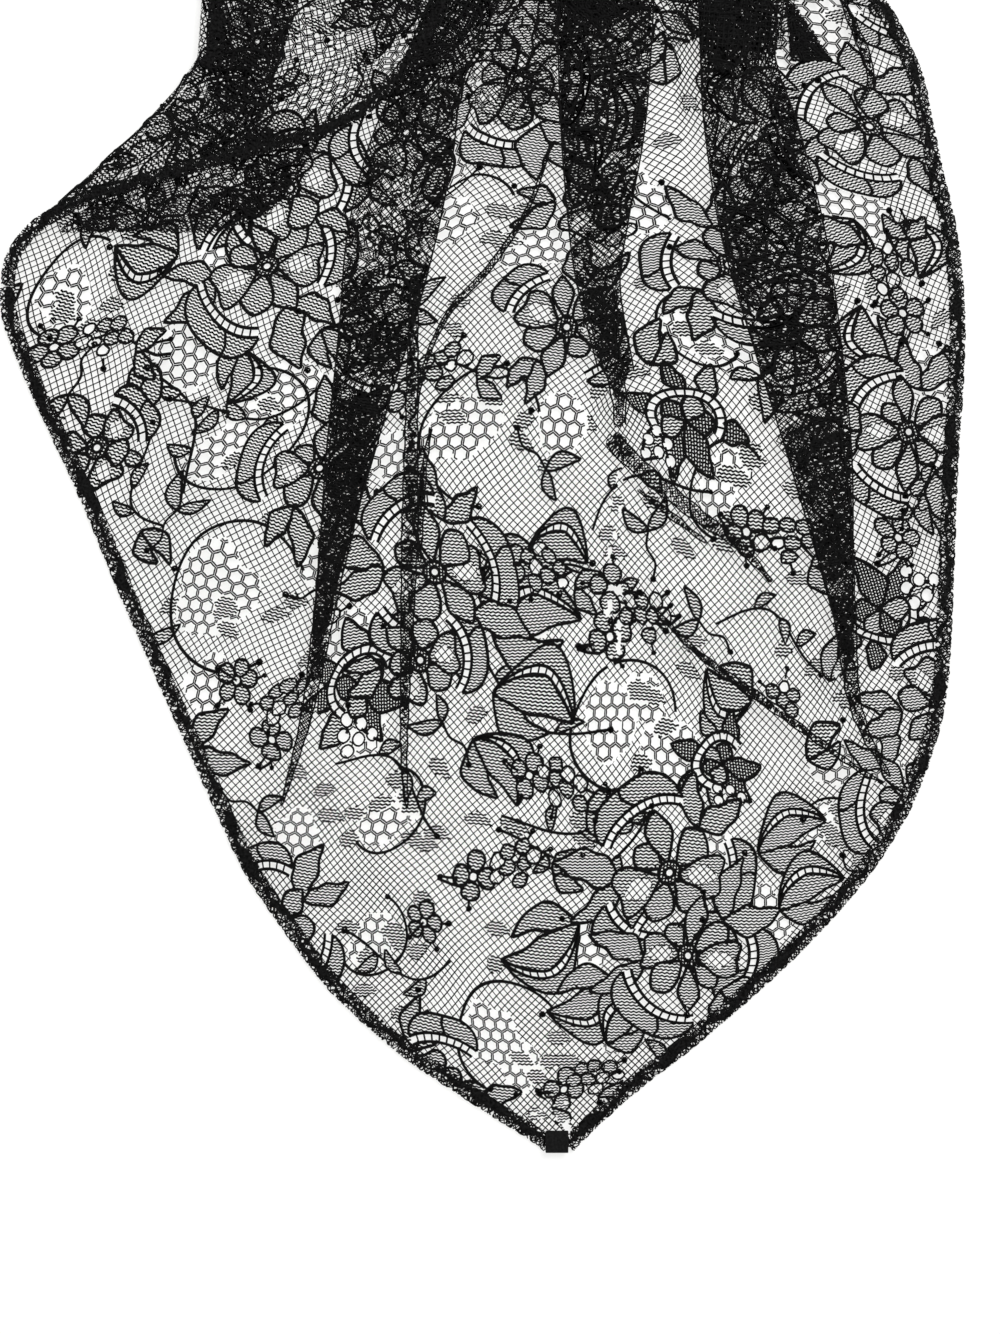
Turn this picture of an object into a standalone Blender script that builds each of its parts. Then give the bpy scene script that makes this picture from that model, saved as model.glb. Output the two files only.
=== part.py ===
"""Lace bandana laid flat: a hemmed triangle of lace, pleated up to a knot made of its own two ends.

Units are millimetres, turned into metres when a mesh is made. X runs across the cloth, Y from the tip (0)
up towards the knot, Z up from the surface that the cloth lies on.
"""
import math
from collections import namedtuple

import bmesh
import bpy

# ---- driving dimensions (millimetres) ----
MM = 0.001
WALL = 1.0              # thickness of a cloth wall
GAP = 0.3               # clearance between neighbouring layers and pieces
HEM_WIDTH = 4.2         # finished width of the narrow hem
HEM_THICK = 1.4         # the hem is the cloth turned twice
HEM_SEAM = 0.5          # clearance between the panel's edge and its hem
HEM_START = 3.4         # the two lower hems start just above the tip
HEM_TURN = 240.0        # height where the left hem turns into the folded end's edge
END_HEM_THICK = 1.2     # hem of the folded end
END_HEM_CLIMB = 22.0    # run over which that hem leaves the floor
SIDE_HEM_WIDTH = 5.0    # hem of the long edge, seen on the folded end
SIDE_HEM_THICK = 0.9
SIDE_HEM_INSET = 5.6    # from the fold's outer edge to that hem's middle
SIDE_HEM_ROWS = (305.0, 309.0, 314.0, 320.0, 328.0, 335.0)
SOFT_EDGE = 0.45        # a double layer is this much thinner at its edges
PLEAT_STEP = WALL + GAP  # from one layer of a pleat to the next, middle to middle
TURN = PLEAT_STEP / 2   # radius of a pleat's rounded fold, at the wall's middle
PLEAT_RISE = 2 * PLEAT_STEP  # the top layer's middle above the bottom layer's
RIDGE_RUN = 13.0        # length over which a pleat starts as a soft ridge
ROLL_RUN = 7.0          # length over which that ridge rolls over into a fold
RAMP = 6.5              # width over which the cloth climbs onto a pleat
SLOPE_WIDTH = 5.0       # width of the ridge's steep side before it rolls over
TURN_POINTS = 4         # segments in each rounded fold
PLEAT_START = 121.0     # height of the lowest pleat's start
GATHER_RUN = 34.0       # below it the columns of the wall are drawn together over this length
PANEL_TOP = 335.5       # height at which the pleats pass into the gathered neck
KNOT = (44.0, 391.0)    # middle of the knot
KNOT_SIZE = (30.0, 22.0, 15.0)
KNOT_REST = 1.2         # the knot is flat below this height
TAIL_LENGTH = 58.0      # each end of the triangle beyond the knot
TAIL_HALF = 10.5        # half of its width where it is widest
TAIL_ROOT = 4.5         # and of what it starts with at the knot
TAIL_WIDEST = 0.42      # share of its length where it is widest
TAIL_POINT = 0.07       # share of the width that is left at the pointed corner
TAIL_BEND = 7.0         # sideways bend at its end
TAIL_THICK = 2.0
TAIL_FOLD = 1.6         # height of its soft folds
TAIL_ROWS = 9
TAIL_SLANTS = {"left": 48.0, "right": 62.0}    # degrees from straight up
TAIL_CLEAR = (2.4, 3.0)  # from the knot to a tail's first row, sideways and upwards
NECK_EDGE = 2.2         # thickness of the gathered neck towards its two sides
NECK_RIM = 1.2          # and at the very sides
NECK_FLUTES = 11        # gathers that run from the neck's lower edge to the knot
CENTRE_X = 0.04         # the middle of the whole width
CENTRE_Y = 223.36       # and of the whole length, where the origin is

# Heights of the panel's rows of points: closer together where a pleat starts.
PANEL_ROWS = (
    7.5, 14.0, 22.0, 32.0, 44.0, 56.0, 68.0, 80.0, 92.0, 104.0, 113.0,
    121.0, 126.0, 130.0, 134.0, 137.5, 141.0, 146.0, 154.0, 164.0, 175.0, 186.0,
    194.0, 199.0, 203.0, 207.0, 210.5, 214.0, 219.0, 228.0, 237.0,
    244.0, 250.0, 255.0, 260.0, 265.0, 272.0, 281.5, 290.5, 300.0, 307.5, 316.0, 326.0, PANEL_TOP,
)


def table(columns, rows):
    """A short table as rows with named columns."""
    row_type = namedtuple("Row", columns)
    return tuple(row_type(*row) for row in rows)


# Outline of the laid cloth: height above the tip, left edge, right edge.
OUTLINE = table("height left right", (
    (0.0, 20.0, 24.0),
    (5.0, 14.0, 28.0),
    (13.5, 0.5, 37.0),
    (22.0, -12.5, 47.0),
    (30.0, -24.0, 57.5),
    (47.0, -42.5, 77.5),
    (64.0, -55.5, 95.0),
    (80.5, -66.5, 109.0),
    (97.5, -74.5, 119.5),
    (114.0, -82.0, 126.0),
    (131.0, -89.5, 130.0),
    (156.0, -100.5, 131.5),
    (181.5, -111.0, 132.5),
    (198.0, -118.5, 133.2),
    (215.0, -126.5, 134.4),
    (232.0, -133.2, 135.0),
    (240.0, -134.8, 134.8),
    (248.5, -134.8, 134.2),
    (257.0, -130.5, 133.0),
    (265.5, -120.5, 131.5),
    (274.0, -111.0, 129.4),
    (290.5, -93.5, 126.0),
    (299.0, -85.8, 124.2),
    (307.5, -80.0, 121.6),
    (324.0, -78.8, 113.0),
    (335.5, -78.5, 103.0),
))

# Pleats: for each, the edges of its three layers at some heights, the lowest row being its starting point.
PLEATS = {
    "left": {
        "top_layer_from": "right",
        "rows": table("height left right", (
            (121.0, -49.5, -49.5),
            (146.5, -47.2, -44.0),
            (164.5, -45.6, -39.5),
            (195.5, -43.6, -30.5),
            (215.0, -41.6, -24.8),
            (235.0, -39.6, -18.5),
            (258.0, -37.6, -12.6),
            (281.5, -32.0, -8.0),
            (300.0, -24.5, -5.5),
            (324.0, -14.5, 5.0),
            (335.5, -9.0, 10.0),
        )),
    },
    "centre": {
        "top_layer_from": "left",
        "rows": table("height left right", (
            (194.0, 39.0, 39.0),
            (206.0, 37.0, 41.5),
            (220.0, 32.5, 42.4),
            (244.0, 26.5, 38.5),
            (262.0, 24.0, 40.8),
            (288.5, 22.0, 45.5),
            (324.0, 21.0, 48.0),
            (335.5, 22.5, 48.5),
        )),
    },
    "right": {
        "top_layer_from": "left",
        "rows": table("height left right", (
            (121.0, 102.8, 102.8),
            (142.0, 100.6, 103.0),
            (164.5, 94.5, 103.4),
            (195.5, 85.5, 103.2),
            (226.0, 76.0, 100.4),
            (257.5, 66.8, 96.0),
            (288.5, 62.0, 88.2),
            (306.5, 61.0, 82.0),
            (335.5, 60.0, 78.0),
        )),
    },
}

# Soft folds of the single layer: where the crest runs, its height above the flat cloth and half its width.
RIDGES = table("start_x start_y end_x end_y rise half_width", (
    (46.0, 192.0, 73.0, 169.5, 2.4, 7.0),
    (73.0, 169.5, 84.0, 150.0, 1.8, 6.0),
    (42.0, 159.0, 60.0, 140.5, 2.6, 7.0),
    (60.0, 140.5, 104.0, 106.0, 3.0, 8.0),
    (-19.0, 225.0, -21.0, 112.0, 1.6, 5.0),
    (-50.0, 112.0, -56.0, 78.0, 1.4, 8.0),
    (4.0, 250.0, 8.0, 150.0, 1.2, 9.0),
    (-90.0, 240.0, -78.0, 150.0, 1.5, 12.0),
    (116.0, 250.0, 119.0, 150.0, 1.2, 7.0),
    (95.0, 322.0, 109.0, 308.0, 1.8, 4.0),
    (101.0, 303.0, 90.5, 288.0, 1.4, 3.5),
))

# The folded left end: the middle of the hem on its free edge, as a run of points (x, height).
LEFT_END_EDGE = (
    (-132.7, 244.2),
    (-132.4, 247.4),
    (-131.2, 252.0),
    (-126.8, 258.2),
    (-119.4, 263.6),
    (-108.0, 268.6),
    (-94.0, 273.2),
    (-78.0, 277.6),
    (-60.0, 282.6),
    (-45.0, 286.6),
    (-34.0, 292.4),
    (-25.0, 300.4),
    (-17.5, 311.0),
    (-10.5, 323.0),
    (-4.0, 335.2),
)
LEFT_END_ROWS = (271.0, 276.0, 282.0, 289.0, 296.0, 303.0, 311.0, 319.0, 327.0, PANEL_TOP)
LEFT_END_LOW = 2.4          # underside of the folded end near the corner
LEFT_END_HIGH = 3.9         # and where it lies on the tuck and the left pleat
LEFT_END_CLIMB = 30.0       # distance from the corner over which it climbs
CORNER = (-131.0, 252.0)    # where the left hem turns
FOLD_FROM = 258.0           # height where the panel's left limit passes from the hem to the fold
FOLD_BLEND = 7.0

# The tuck under it: height, left limit, right limit.
TUCK = table("height left right", (
    (258.6, -118.0, -73.0),
    (261.0, -117.0, -66.0),
    (264.0, -112.5, -59.5),
    (269.0, -107.0, -54.6),
    (278.0, -97.0, -49.0),
    (287.5, -87.5, -43.5),
    (300.0, -76.0, -36.0),
    (312.0, -70.0, -29.5),
    (324.0, -69.0, -24.0),
    (335.0, -68.5, -19.0),
))
TUCK_THICK = 2.2
TUCK_LOW_THICK = 0.8        # at its edges and its lowest row
TUCK_COLUMNS = (0.0, 0.05, 0.2, 0.4, 0.6, 0.8, 0.95, 1.0)

# The small fold near the top right, a triangle: height, left limit, right limit.
RIGHT_END = table("height left right", (
    (306.4, 85.7, 98.4),
    (311.0, 85.6, 95.2),
    (317.0, 85.2, 91.0),
    (323.0, 84.8, 87.2),
))
RIGHT_END_THICK = 1.9

# The gathered neck: height, left limit, right limit, thickness at its crown.
NECK = table("height left right crown", (
    (335.8, -78.0, 101.0, 4.6),
    (339.5, -76.0, 98.0, 5.2),
    (346.0, -66.0, 90.5, 6.2),
    (353.0, -48.0, 81.0, 7.4),
    (360.0, -24.0, 71.5, 8.6),
    (367.0, 3.0, 62.5, 9.8),
    (373.5, 22.0, 56.5, 10.8),
    (379.3, 32.0, 54.5, 11.4),
))

TAB_SIZE = (6.4, 6.2, 0.9)
TAB_MIDDLE = (20.9, 4.9)

LACE_BLACK = (0.012, 0.012, 0.014, 1.0)
HEM_BLACK = (0.02, 0.02, 0.022, 1.0)


# ---- small helpers ----
def read_table(rows, height, column):
    """Value of a table's column at a height, in straight runs between its rows."""
    if height <= rows[0].height:
        return getattr(rows[0], column)
    for low, high in zip(rows, rows[1:]):
        if height <= high.height:
            share = (height - low.height) / (high.height - low.height)
            return getattr(low, column) + share * (getattr(high, column) - getattr(low, column))
    return getattr(rows[-1], column)


def smooth(value):
    """Smooth step from 0 to 1."""
    value = min(max(value, 0.0), 1.0)
    return value * value * (3.0 - 2.0 * value)


def through(points, count):
    """Points at even steps along a smooth curve through the given ones (Catmull-Rom)."""
    ends = [points[0], *points, points[-1]]
    fine = []
    for before, start, end, after in zip(ends, ends[1:], ends[2:], ends[3:]):
        for step in range(12):
            t = step / 12
            fine.append(tuple(
                0.5 * (2 * b + (c - a) * t + (2 * a - 5 * b + 4 * c - d) * t * t
                       + (3 * b - a - 3 * c + d) * t ** 3)
                for a, b, c, d in zip(before, start, end, after)
            ))
    fine.append(tuple(points[-1]))
    lengths = [0.0]
    for start, end in zip(fine, fine[1:]):
        lengths.append(lengths[-1] + math.dist(start, end))
    even = []
    place = 0
    for step in range(count):
        wanted = lengths[-1] * step / (count - 1)
        while place < len(fine) - 2 and lengths[place + 1] < wanted:
            place += 1
        share = (wanted - lengths[place]) / max(lengths[place + 1] - lengths[place], 1e-9)
        even.append(tuple(a + share * (b - a) for a, b in zip(fine[place], fine[place + 1])))
    return even


def side_normals(points):
    """Unit vectors to the left of a run of (x, y) points."""
    normals = []
    for index in range(len(points)):
        start = points[max(index - 1, 0)]
        end = points[min(index + 1, len(points) - 1)]
        dx = end[0] - start[0]
        dy = end[1] - start[1]
        size = math.hypot(dx, dy)
        normals.append((-dy / size, dx / size))
    return normals


def segment_distance(x, y, start, end):
    """Distance from a point to a straight run."""
    dx = end[0] - start[0]
    dy = end[1] - start[1]
    share = ((x - start[0]) * dx + (y - start[1]) * dy) / (dx * dx + dy * dy)
    share = min(max(share, 0.0), 1.0)
    return math.hypot(x - start[0] - share * dx, y - start[1] - share * dy)


def ridge_height(x, y):
    """Height of the soft folds above the flat cloth."""
    rise = 0.0
    for ridge in RIDGES:
        start = (ridge.start_x, ridge.start_y)
        end = (ridge.end_x, ridge.end_y)
        away = segment_distance(x, y, start, end) / ridge.half_width
        rise = max(rise, ridge.rise * math.exp(-away * away))
    return rise if rise > 0.05 else 0.0


# ---- outline and hems ----
def outline_side(column):
    """One side of the outline as a run of (x, height)."""
    return [(getattr(row, column), row.height) for row in OUTLINE]


LEFT_SIDE_END = (-134.9, 243.4)
RIGHT_SIDE_END = (91.0, 345.0)    # beyond the panel's top, so that the hem keeps its direction
LEFT_SIDE = through([p for p in outline_side("left") if p[1] <= HEM_TURN] + [LEFT_SIDE_END], 93)
RIGHT_SIDE = through(outline_side("right") + [RIGHT_SIDE_END], 120)


def moved(points, distance):
    """A run of points moved sideways, to its left for a positive distance."""
    return [(x + nx * distance, y + ny * distance)
            for (x, y), (nx, ny) in zip(points, side_normals(points))]


def x_at(points, height):
    """X of a rising run of points at a height."""
    best = points[0][0]
    for start, end in zip(points, points[1:]):
        if start[1] <= height <= end[1]:
            share = (height - start[1]) / max(end[1] - start[1], 1e-9)
            best = start[0] + share * (end[0] - start[0])
    if height > points[-1][1]:
        best = points[-1][0]
    return best


LEFT_INSIDE = moved(LEFT_SIDE, -(HEM_WIDTH + HEM_SEAM))
RIGHT_INSIDE = moved(RIGHT_SIDE, HEM_WIDTH + HEM_SEAM)
EDGE_CURVE = through(LEFT_END_EDGE, 60)
EDGE_BELOW = moved(EDGE_CURVE, -(HEM_WIDTH / 2 + HEM_SEAM))


def left_end_level(x, y):
    """Underside of the folded end: it climbs from the corner onto the tuck and the pleat."""
    away = math.dist((x, y), CORNER)
    return LEFT_END_LOW + (LEFT_END_HIGH - LEFT_END_LOW) * smooth(away / LEFT_END_CLIMB)


def fold_radius(height):
    """Radius, at the wall's middle, of the rounded fold along the folded end's outer edge."""
    x = read_table(OUTLINE, height, "left")
    return left_end_level(x, height) / 2


def panel_left(height):
    """Left limit of the panel: inside the hem, then inside the fold of the left end."""
    if height <= HEM_TURN:
        return x_at(LEFT_INSIDE, height)
    beside_hem = LEFT_SIDE_END[0] + HEM_WIDTH + HEM_SEAM
    for (x0, y0), (x1, y1) in zip(EDGE_BELOW, EDGE_BELOW[1:]):
        if y0 <= height <= y1 and height < FOLD_FROM + FOLD_BLEND / 2:
            beside_hem = x0 + (x1 - x0) * (height - y0) / max(y1 - y0, 1e-9)
    beside_fold = (read_table(OUTLINE, height, "left")
                   + (WALL / 2 + fold_radius(height)) * fold_slant(height) + 2 * GAP)
    if height < FOLD_FROM:
        return beside_hem
    share = smooth((height - FOLD_FROM) / FOLD_BLEND)
    return beside_hem + share * (beside_fold - beside_hem)


def fold_slant(height):
    """How much wider a level section cuts the slanted fold: 1 over the cosine of its slant."""
    step = 4.0
    run = read_table(OUTLINE, height + step, "left") - read_table(OUTLINE, height - step, "left")
    return math.hypot(run, 2 * step) / (2 * step)


def panel_right(height):
    return x_at(RIGHT_INSIDE, height)


# ---- pleated section ----
def pleat_turn(stage, overlap):
    """Half of a knife pleat as a run of (advance, drop), from the top layer to the bottom layer.

    stage runs from 0 to 1 while a soft ridge grows and from 1 to 2 while it rolls over into a fold; overlap is
    the straight stretch of the middle layer.
    """
    rolled = smooth(stage - 1.0)
    grown = smooth(stage)
    fold = []
    for step in range(TURN_POINTS + 1):
        angle = math.pi * step / TURN_POINTS
        fold.append((TURN * math.sin(angle), TURN * (1 - math.cos(angle))))
    for step in range(TURN_POINTS + 1):
        angle = math.pi * step / TURN_POINTS
        fold.append((-overlap - TURN * math.sin(angle), PLEAT_STEP + TURN * (1 - math.cos(angle))))
    last = len(fold) - 1
    run = []
    for index, (advance, drop) in enumerate(fold):
        share = index / last
        soft_advance = SLOPE_WIDTH * share
        soft_drop = PLEAT_RISE * grown * smooth(share)
        run.append((
            soft_advance + rolled * (advance - soft_advance),
            soft_drop + rolled * (drop - soft_drop),
        ))
    return run


def pleat_points(pleat, height):
    """One pleat's part of the section, from left to right: (x, height of the wall's middle above the flat)."""
    rows = pleat["rows"]
    start = rows[0].height
    left = read_table(rows, height, "left")
    right = read_table(rows, height, "right")
    middle = (left + right) / 2
    above = height - start
    stage = 0.0
    if above > 0.0:
        stage = min(above / RIDGE_RUN, 1.0)
    if above > RIDGE_RUN:
        stage = 1.0 + min((above - RIDGE_RUN) / ROLL_RUN, 1.0)
    grown = max(above - RIDGE_RUN - ROLL_RUN, 0.0)
    overlap = min(max(right - left - 2 * TURN, 0.0), 0.6 + grown * 0.9)
    turn = pleat_turn(stage, overlap)
    span = turn[-1][0]
    rise = turn[-1][1]
    top_x = middle - span / 2
    points = []
    ramp_end = min(top_x, middle - abs(span) / 2 - TURN - WALL)
    if stage < 2.0:
        ramp_end = min(top_x - 0.6, middle - abs(span) / 2 - 0.6)
    for step in range(5):
        share = step / 4
        points.append((ramp_end - RAMP * (1 - share), rise * smooth(share)))
    points.append(((ramp_end + top_x) / 2, rise))
    for advance, drop in turn:
        points.append((top_x + advance, rise - drop))
    points.append((top_x + span + RAMP * 0.6, 0.0))
    if pleat["top_layer_from"] == "right":
        points = [(2 * middle - x, z) for x, z in reversed(points)]
    return points


FLAT_COLUMNS = (7, 3, 3, 7)    # points across each flat stretch between the edges and the pleats


def section(height):
    """The wall's middle line at a height, from left to right, as (x, z)."""
    left = panel_left(height)
    right = panel_right(height)
    pleats = [pleat_points(pleat, height) for pleat in PLEATS.values()]
    points = []
    start = left
    for pleat, columns in zip(pleats + [None], FLAT_COLUMNS):
        end = pleat[0][0] if pleat else right
        first = 0 if not points else 1
        last = columns + 1 if pleat else columns + 2
        for step in range(first, last):
            share = step / (columns + 1)
            points.append((start + share * (end - start), 0.0))
        if pleat:
            points.extend(pleat)
            start = pleat[-1][0]
    return points


def spread_section(height):
    """Below the pleats the same number of points is spread evenly."""
    count = len(section(PLEAT_START))
    left = panel_left(height)
    right = panel_right(height)
    return [(left + (right - left) * step / (count - 1), 0.0) for step in range(count)]


def blended_section(height):
    """The spread section near the tip, drawn together into the pleats' columns higher up."""
    share = smooth((height - PLEAT_START + GATHER_RUN) / GATHER_RUN)
    if share <= 0.0:
        return spread_section(height)
    full = section(height)
    if share >= 1.0:
        return full
    return [(a[0] + share * (b[0] - a[0]), b[1] * share) for a, b in zip(spread_section(height), full)]


def wall_rows(height, thickness):
    """Upper and lower runs of points of the panel's wall at a height."""
    line = []
    for x, z in blended_section(height):
        lift = ridge_height(x, height) if z < 0.01 else 0.0
        line.append((x, z + lift + thickness / 2))
    upper = []
    lower = []
    for index, (x, z) in enumerate(line):
        before = line[max(index - 1, 0)]
        after = line[min(index + 1, len(line) - 1)]
        dx = after[0] - before[0]
        dz = after[1] - before[1]
        size = math.hypot(dx, dz)
        nx = -dz / size
        nz = dx / size
        upper.append((x + nx * thickness / 2, z + nz * thickness / 2))
        lower.append((x - nx * thickness / 2, max(z - nz * thickness / 2, 0.0)))
    return upper, lower


# ---- mesh making ----
def new_object(name, mesh_data, material, collection):
    mesh = bpy.data.meshes.new(name)
    mesh_data.to_mesh(mesh)
    mesh_data.free()
    mesh.materials.append(material)
    mesh.shade_smooth()
    mesh.set_sharp_from_angle(angle=math.radians(50.0))
    item = bpy.data.objects.new(name, mesh)
    collection.objects.link(item)
    return item


def placed(x, y, z):
    """A point of the part, in metres, from its place on the cloth."""
    return ((x - CENTRE_X) * MM, (y - CENTRE_Y) * MM, z * MM)


def loft(name, rings, material, collection):
    """Closed solid through rings of points, each ring a closed loop of (x, y, z), capped at both ends."""
    shape = bmesh.new()
    made = [[shape.verts.new(placed(*point)) for point in ring] for ring in rings]
    count = len(rings[0])
    for low, high in zip(made, made[1:]):
        for index in range(count):
            after = (index + 1) % count
            shape.faces.new((low[index], low[after], high[after], high[index]))
    half = count // 2
    for ring in (made[0], made[-1]):
        for index in range(half - 1):
            shape.faces.new((ring[index], ring[index + 1], ring[count - 2 - index], ring[count - 1 - index]))
    bmesh.ops.triangulate(shape, faces=shape.faces[:])
    bmesh.ops.recalc_face_normals(shape, faces=shape.faces[:])
    return new_object(name, shape, material, collection)


def wall_ring(upper, lower, height):
    """A closed ring of points from a wall's upper and lower runs."""
    return [(x, height, z) for x, z in upper] + [(x, height, z) for x, z in reversed(lower)]


def ribbon(name, path, levels, width, thickness, material, collection):
    """A flat band with softened upper edges along a run of points, its underside at the given levels."""
    rings = []
    for (x, y), (nx, ny), level in zip(path, side_normals(path), levels):
        profile = (
            (-0.5, 0.55), (-0.3, 1.0), (0.3, 1.0), (0.5, 0.55),
            (0.5, 0.0), (0.16, 0.0), (-0.16, 0.0), (-0.5, 0.0),
        )
        rings.append([
            (x + nx * width * across, y + ny * width * across, level + thickness * up)
            for across, up in profile
        ])
    return loft(name, rings, material, collection)


def make_material(name, colour, roughness):
    material = bpy.data.materials.new(name)
    material.use_nodes = True
    shader = material.node_tree.nodes["Principled BSDF"]
    shader.inputs["Base Color"].default_value = colour
    shader.inputs["Roughness"].default_value = roughness
    shader.inputs["Metallic"].default_value = 0.0
    return material


# ---- the pieces ----
def make_panel(collection):
    """Main stretch of the cloth, one wall folded at its three pleats."""
    rings = []
    for height in PANEL_ROWS:
        upper, lower = wall_rows(height, WALL)
        rings.append(wall_ring(upper, lower, height))
    material = make_material("lace_panel", LACE_BLACK, 0.75)
    return loft("cloth_panel", rings, material, collection)


def make_tuck(collection):
    """The hidden double layer beside the left end, rounded at its edges."""
    rings = []
    for height, left, right in TUCK:
        upper = []
        lower = []
        for share in TUCK_COLUMNS:
            x = left + share * (right - left)
            room = left_end_level(x, height) - GAP - (WALL + GAP)
            thick = min(TUCK_THICK, max(TUCK_LOW_THICK, room))
            if share in (0.0, 1.0) or height == TUCK[0].height:
                thick = TUCK_LOW_THICK
            upper.append((x, WALL + GAP + thick))
            lower.append((x, WALL + GAP))
        rings.append(wall_ring(upper, lower, height))
    material = make_material("lace_tuck", LACE_BLACK, 0.75)
    return loft("left_tuck", rings, material, collection)


def make_left_end(collection):
    """The left end, folded back: round its outer fold and flat to its free edge."""
    inner = moved(EDGE_CURVE, HEM_WIDTH / 2 + GAP)
    rings = []
    for height in LEFT_END_ROWS:
        slant = fold_slant(height)
        outer_x = read_table(OUTLINE, height, "left")
        free_x = x_at(inner, height)
        radius = fold_radius(height)
        centre_x = outer_x + (WALL / 2 + radius) * slant
        line = []
        for step in range(5):
            angle = math.pi * step / 4
            line.append((
                centre_x - radius * math.sin(angle) * slant,
                WALL / 2 + radius - radius * math.cos(angle),
                -math.sin(angle) * slant,
                -math.cos(angle),
            ))
        for step in range(1, 9):
            x = centre_x + (free_x - centre_x) * step / 8
            line.append((x, left_end_level(x, height) + WALL / 2, 0.0, 1.0))
        upper = [(x + nx * WALL / 2, z + nz * WALL / 2) for x, z, nx, nz in line]
        lower = [(x - nx * WALL / 2, z - nz * WALL / 2) for x, z, nx, nz in line]
        rings.append(wall_ring(upper, lower, height))
    material = make_material("lace_left_end", LACE_BLACK, 0.75)
    return loft("left_end", rings, material, collection)


def make_right_end(collection):
    """The small double fold near the top right."""
    rings = []
    for height, left, right in RIGHT_END:
        upper = []
        lower = []
        for share in (0.0, 0.2, 0.5, 0.8, 1.0):
            x = left + share * (right - left)
            soft = SOFT_EDGE if share in (0.0, 1.0) else 0.0
            lift = ridge_height(x, height)
            upper.append((x, WALL + GAP + lift + RIGHT_END_THICK - soft))
            lower.append((x, WALL + GAP + lift))
        rings.append(wall_ring(upper, lower, height))
    material = make_material("lace_right_end", LACE_BLACK, 0.75)
    return loft("right_end", rings, material, collection)


def make_hems(collection):
    """Narrow hems: left side, right side, and the two edges of the folded end."""
    inset = HEM_WIDTH / 2
    left_path = [p for p in moved(LEFT_SIDE, -inset) if p[1] > HEM_START][::-2][::-1]
    right_path = [p for p in moved(RIGHT_SIDE, inset) if HEM_START < p[1] < PANEL_TOP - HEM_WIDTH / 2][::2]
    ribbon("hem_left", left_path, [0.0] * len(left_path), HEM_WIDTH, HEM_THICK,
           make_material("hem_left_black", HEM_BLACK, 0.7), collection)
    ribbon("hem_right", right_path, [0.0] * len(right_path), HEM_WIDTH, HEM_THICK,
           make_material("hem_right_black", HEM_BLACK, 0.7), collection)
    edge_path = through(LEFT_END_EDGE, 34)
    edge_levels = []
    run = 0.0
    for index, (x, y) in enumerate(edge_path):
        if index:
            run += math.dist(edge_path[index - 1], edge_path[index])
        edge_levels.append(left_end_level(x, y) * smooth(run / END_HEM_CLIMB))
    ribbon("hem_left_end", edge_path, edge_levels, HEM_WIDTH, END_HEM_THICK,
           make_material("hem_left_end_black", HEM_BLACK, 0.7), collection)
    side_path = [(read_table(OUTLINE, y, "left") + SIDE_HEM_INSET, y) for y in SIDE_HEM_ROWS]
    side_levels = [left_end_level(x, y) + WALL + GAP for x, y in side_path]
    ribbon("hem_left_side", side_path, side_levels, SIDE_HEM_WIDTH, SIDE_HEM_THICK,
           make_material("hem_left_side_black", HEM_BLACK, 0.7), collection)


def layers_top(x):
    """Top of the layers that meet the neck's lower edge."""
    if x < LEFT_END_EDGE[-1][0] - HEM_WIDTH / 2:
        return LEFT_END_HIGH + WALL
    for pleat in PLEATS.values():
        if pleat["rows"][-1].left <= x <= pleat["rows"][-1].right:
            return PLEAT_RISE + WALL
    return WALL


def make_neck(collection):
    """Cloth gathered from the pleats' upper end to the knot, as one rounded fluted solid."""
    columns = 4 * NECK_FLUTES
    rings = []
    for index, row in enumerate(NECK):
        share = index / (len(NECK) - 1)
        upper = []
        lower = []
        for column in range(columns + 1):
            across = column / columns
            x = row.left + across * (row.right - row.left)
            arch = math.sin(math.pi * across) ** 0.6 if 0 < column < columns else 0.0
            flute = (0.55 + 0.5 * share) * math.cos(2 * math.pi * NECK_FLUTES * across)
            gathered = NECK_EDGE + (row.crown - NECK_EDGE) * arch + flute * min(arch * 1.6, 1.0)
            z = layers_top(x) if index == 0 else max(gathered, NECK_RIM)
            upper.append((x, z if 0 < column < columns else min(z, NECK_RIM)))
            lower.append((x, 0.0))
        rings.append(wall_ring(upper, lower, row.height))
    material = make_material("lace_neck", LACE_BLACK, 0.75)
    return loft("gathered_neck", rings, material, collection)


def make_knot(collection):
    """Soft round knot: a squashed ball with a band of cloth over it, flat where it rests."""
    width, depth, tall = KNOT_SIZE
    shape = bmesh.new()
    bmesh.ops.create_uvsphere(shape, u_segments=28, v_segments=14, radius=1.0)
    for vertex in shape.verts:
        x, y, z = vertex.co
        around = math.atan2(y, x)
        band = math.exp(-((x * 0.9 - y * 0.45) / 0.34) ** 2)
        swell = 1.0 + 0.06 * math.cos(3 * around + 0.6) + 0.10 * band
        px = KNOT[0] + x * width / 2 * swell
        py = KNOT[1] + y * depth / 2 * swell
        pz = tall / 2 + z * tall / 2 * (1.0 + 0.08 * band)
        vertex.co = placed(px, py, pz if pz > KNOT_REST else 0.0)
    bmesh.ops.dissolve_degenerate(shape, dist=0.00005, edges=shape.edges[:])
    bmesh.ops.triangulate(shape, faces=shape.faces[:])
    bmesh.ops.recalc_face_normals(shape, faces=shape.faces[:])
    material = make_material("lace_knot", LACE_BLACK, 0.75)
    return new_object("knot", shape, material, collection)


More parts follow.
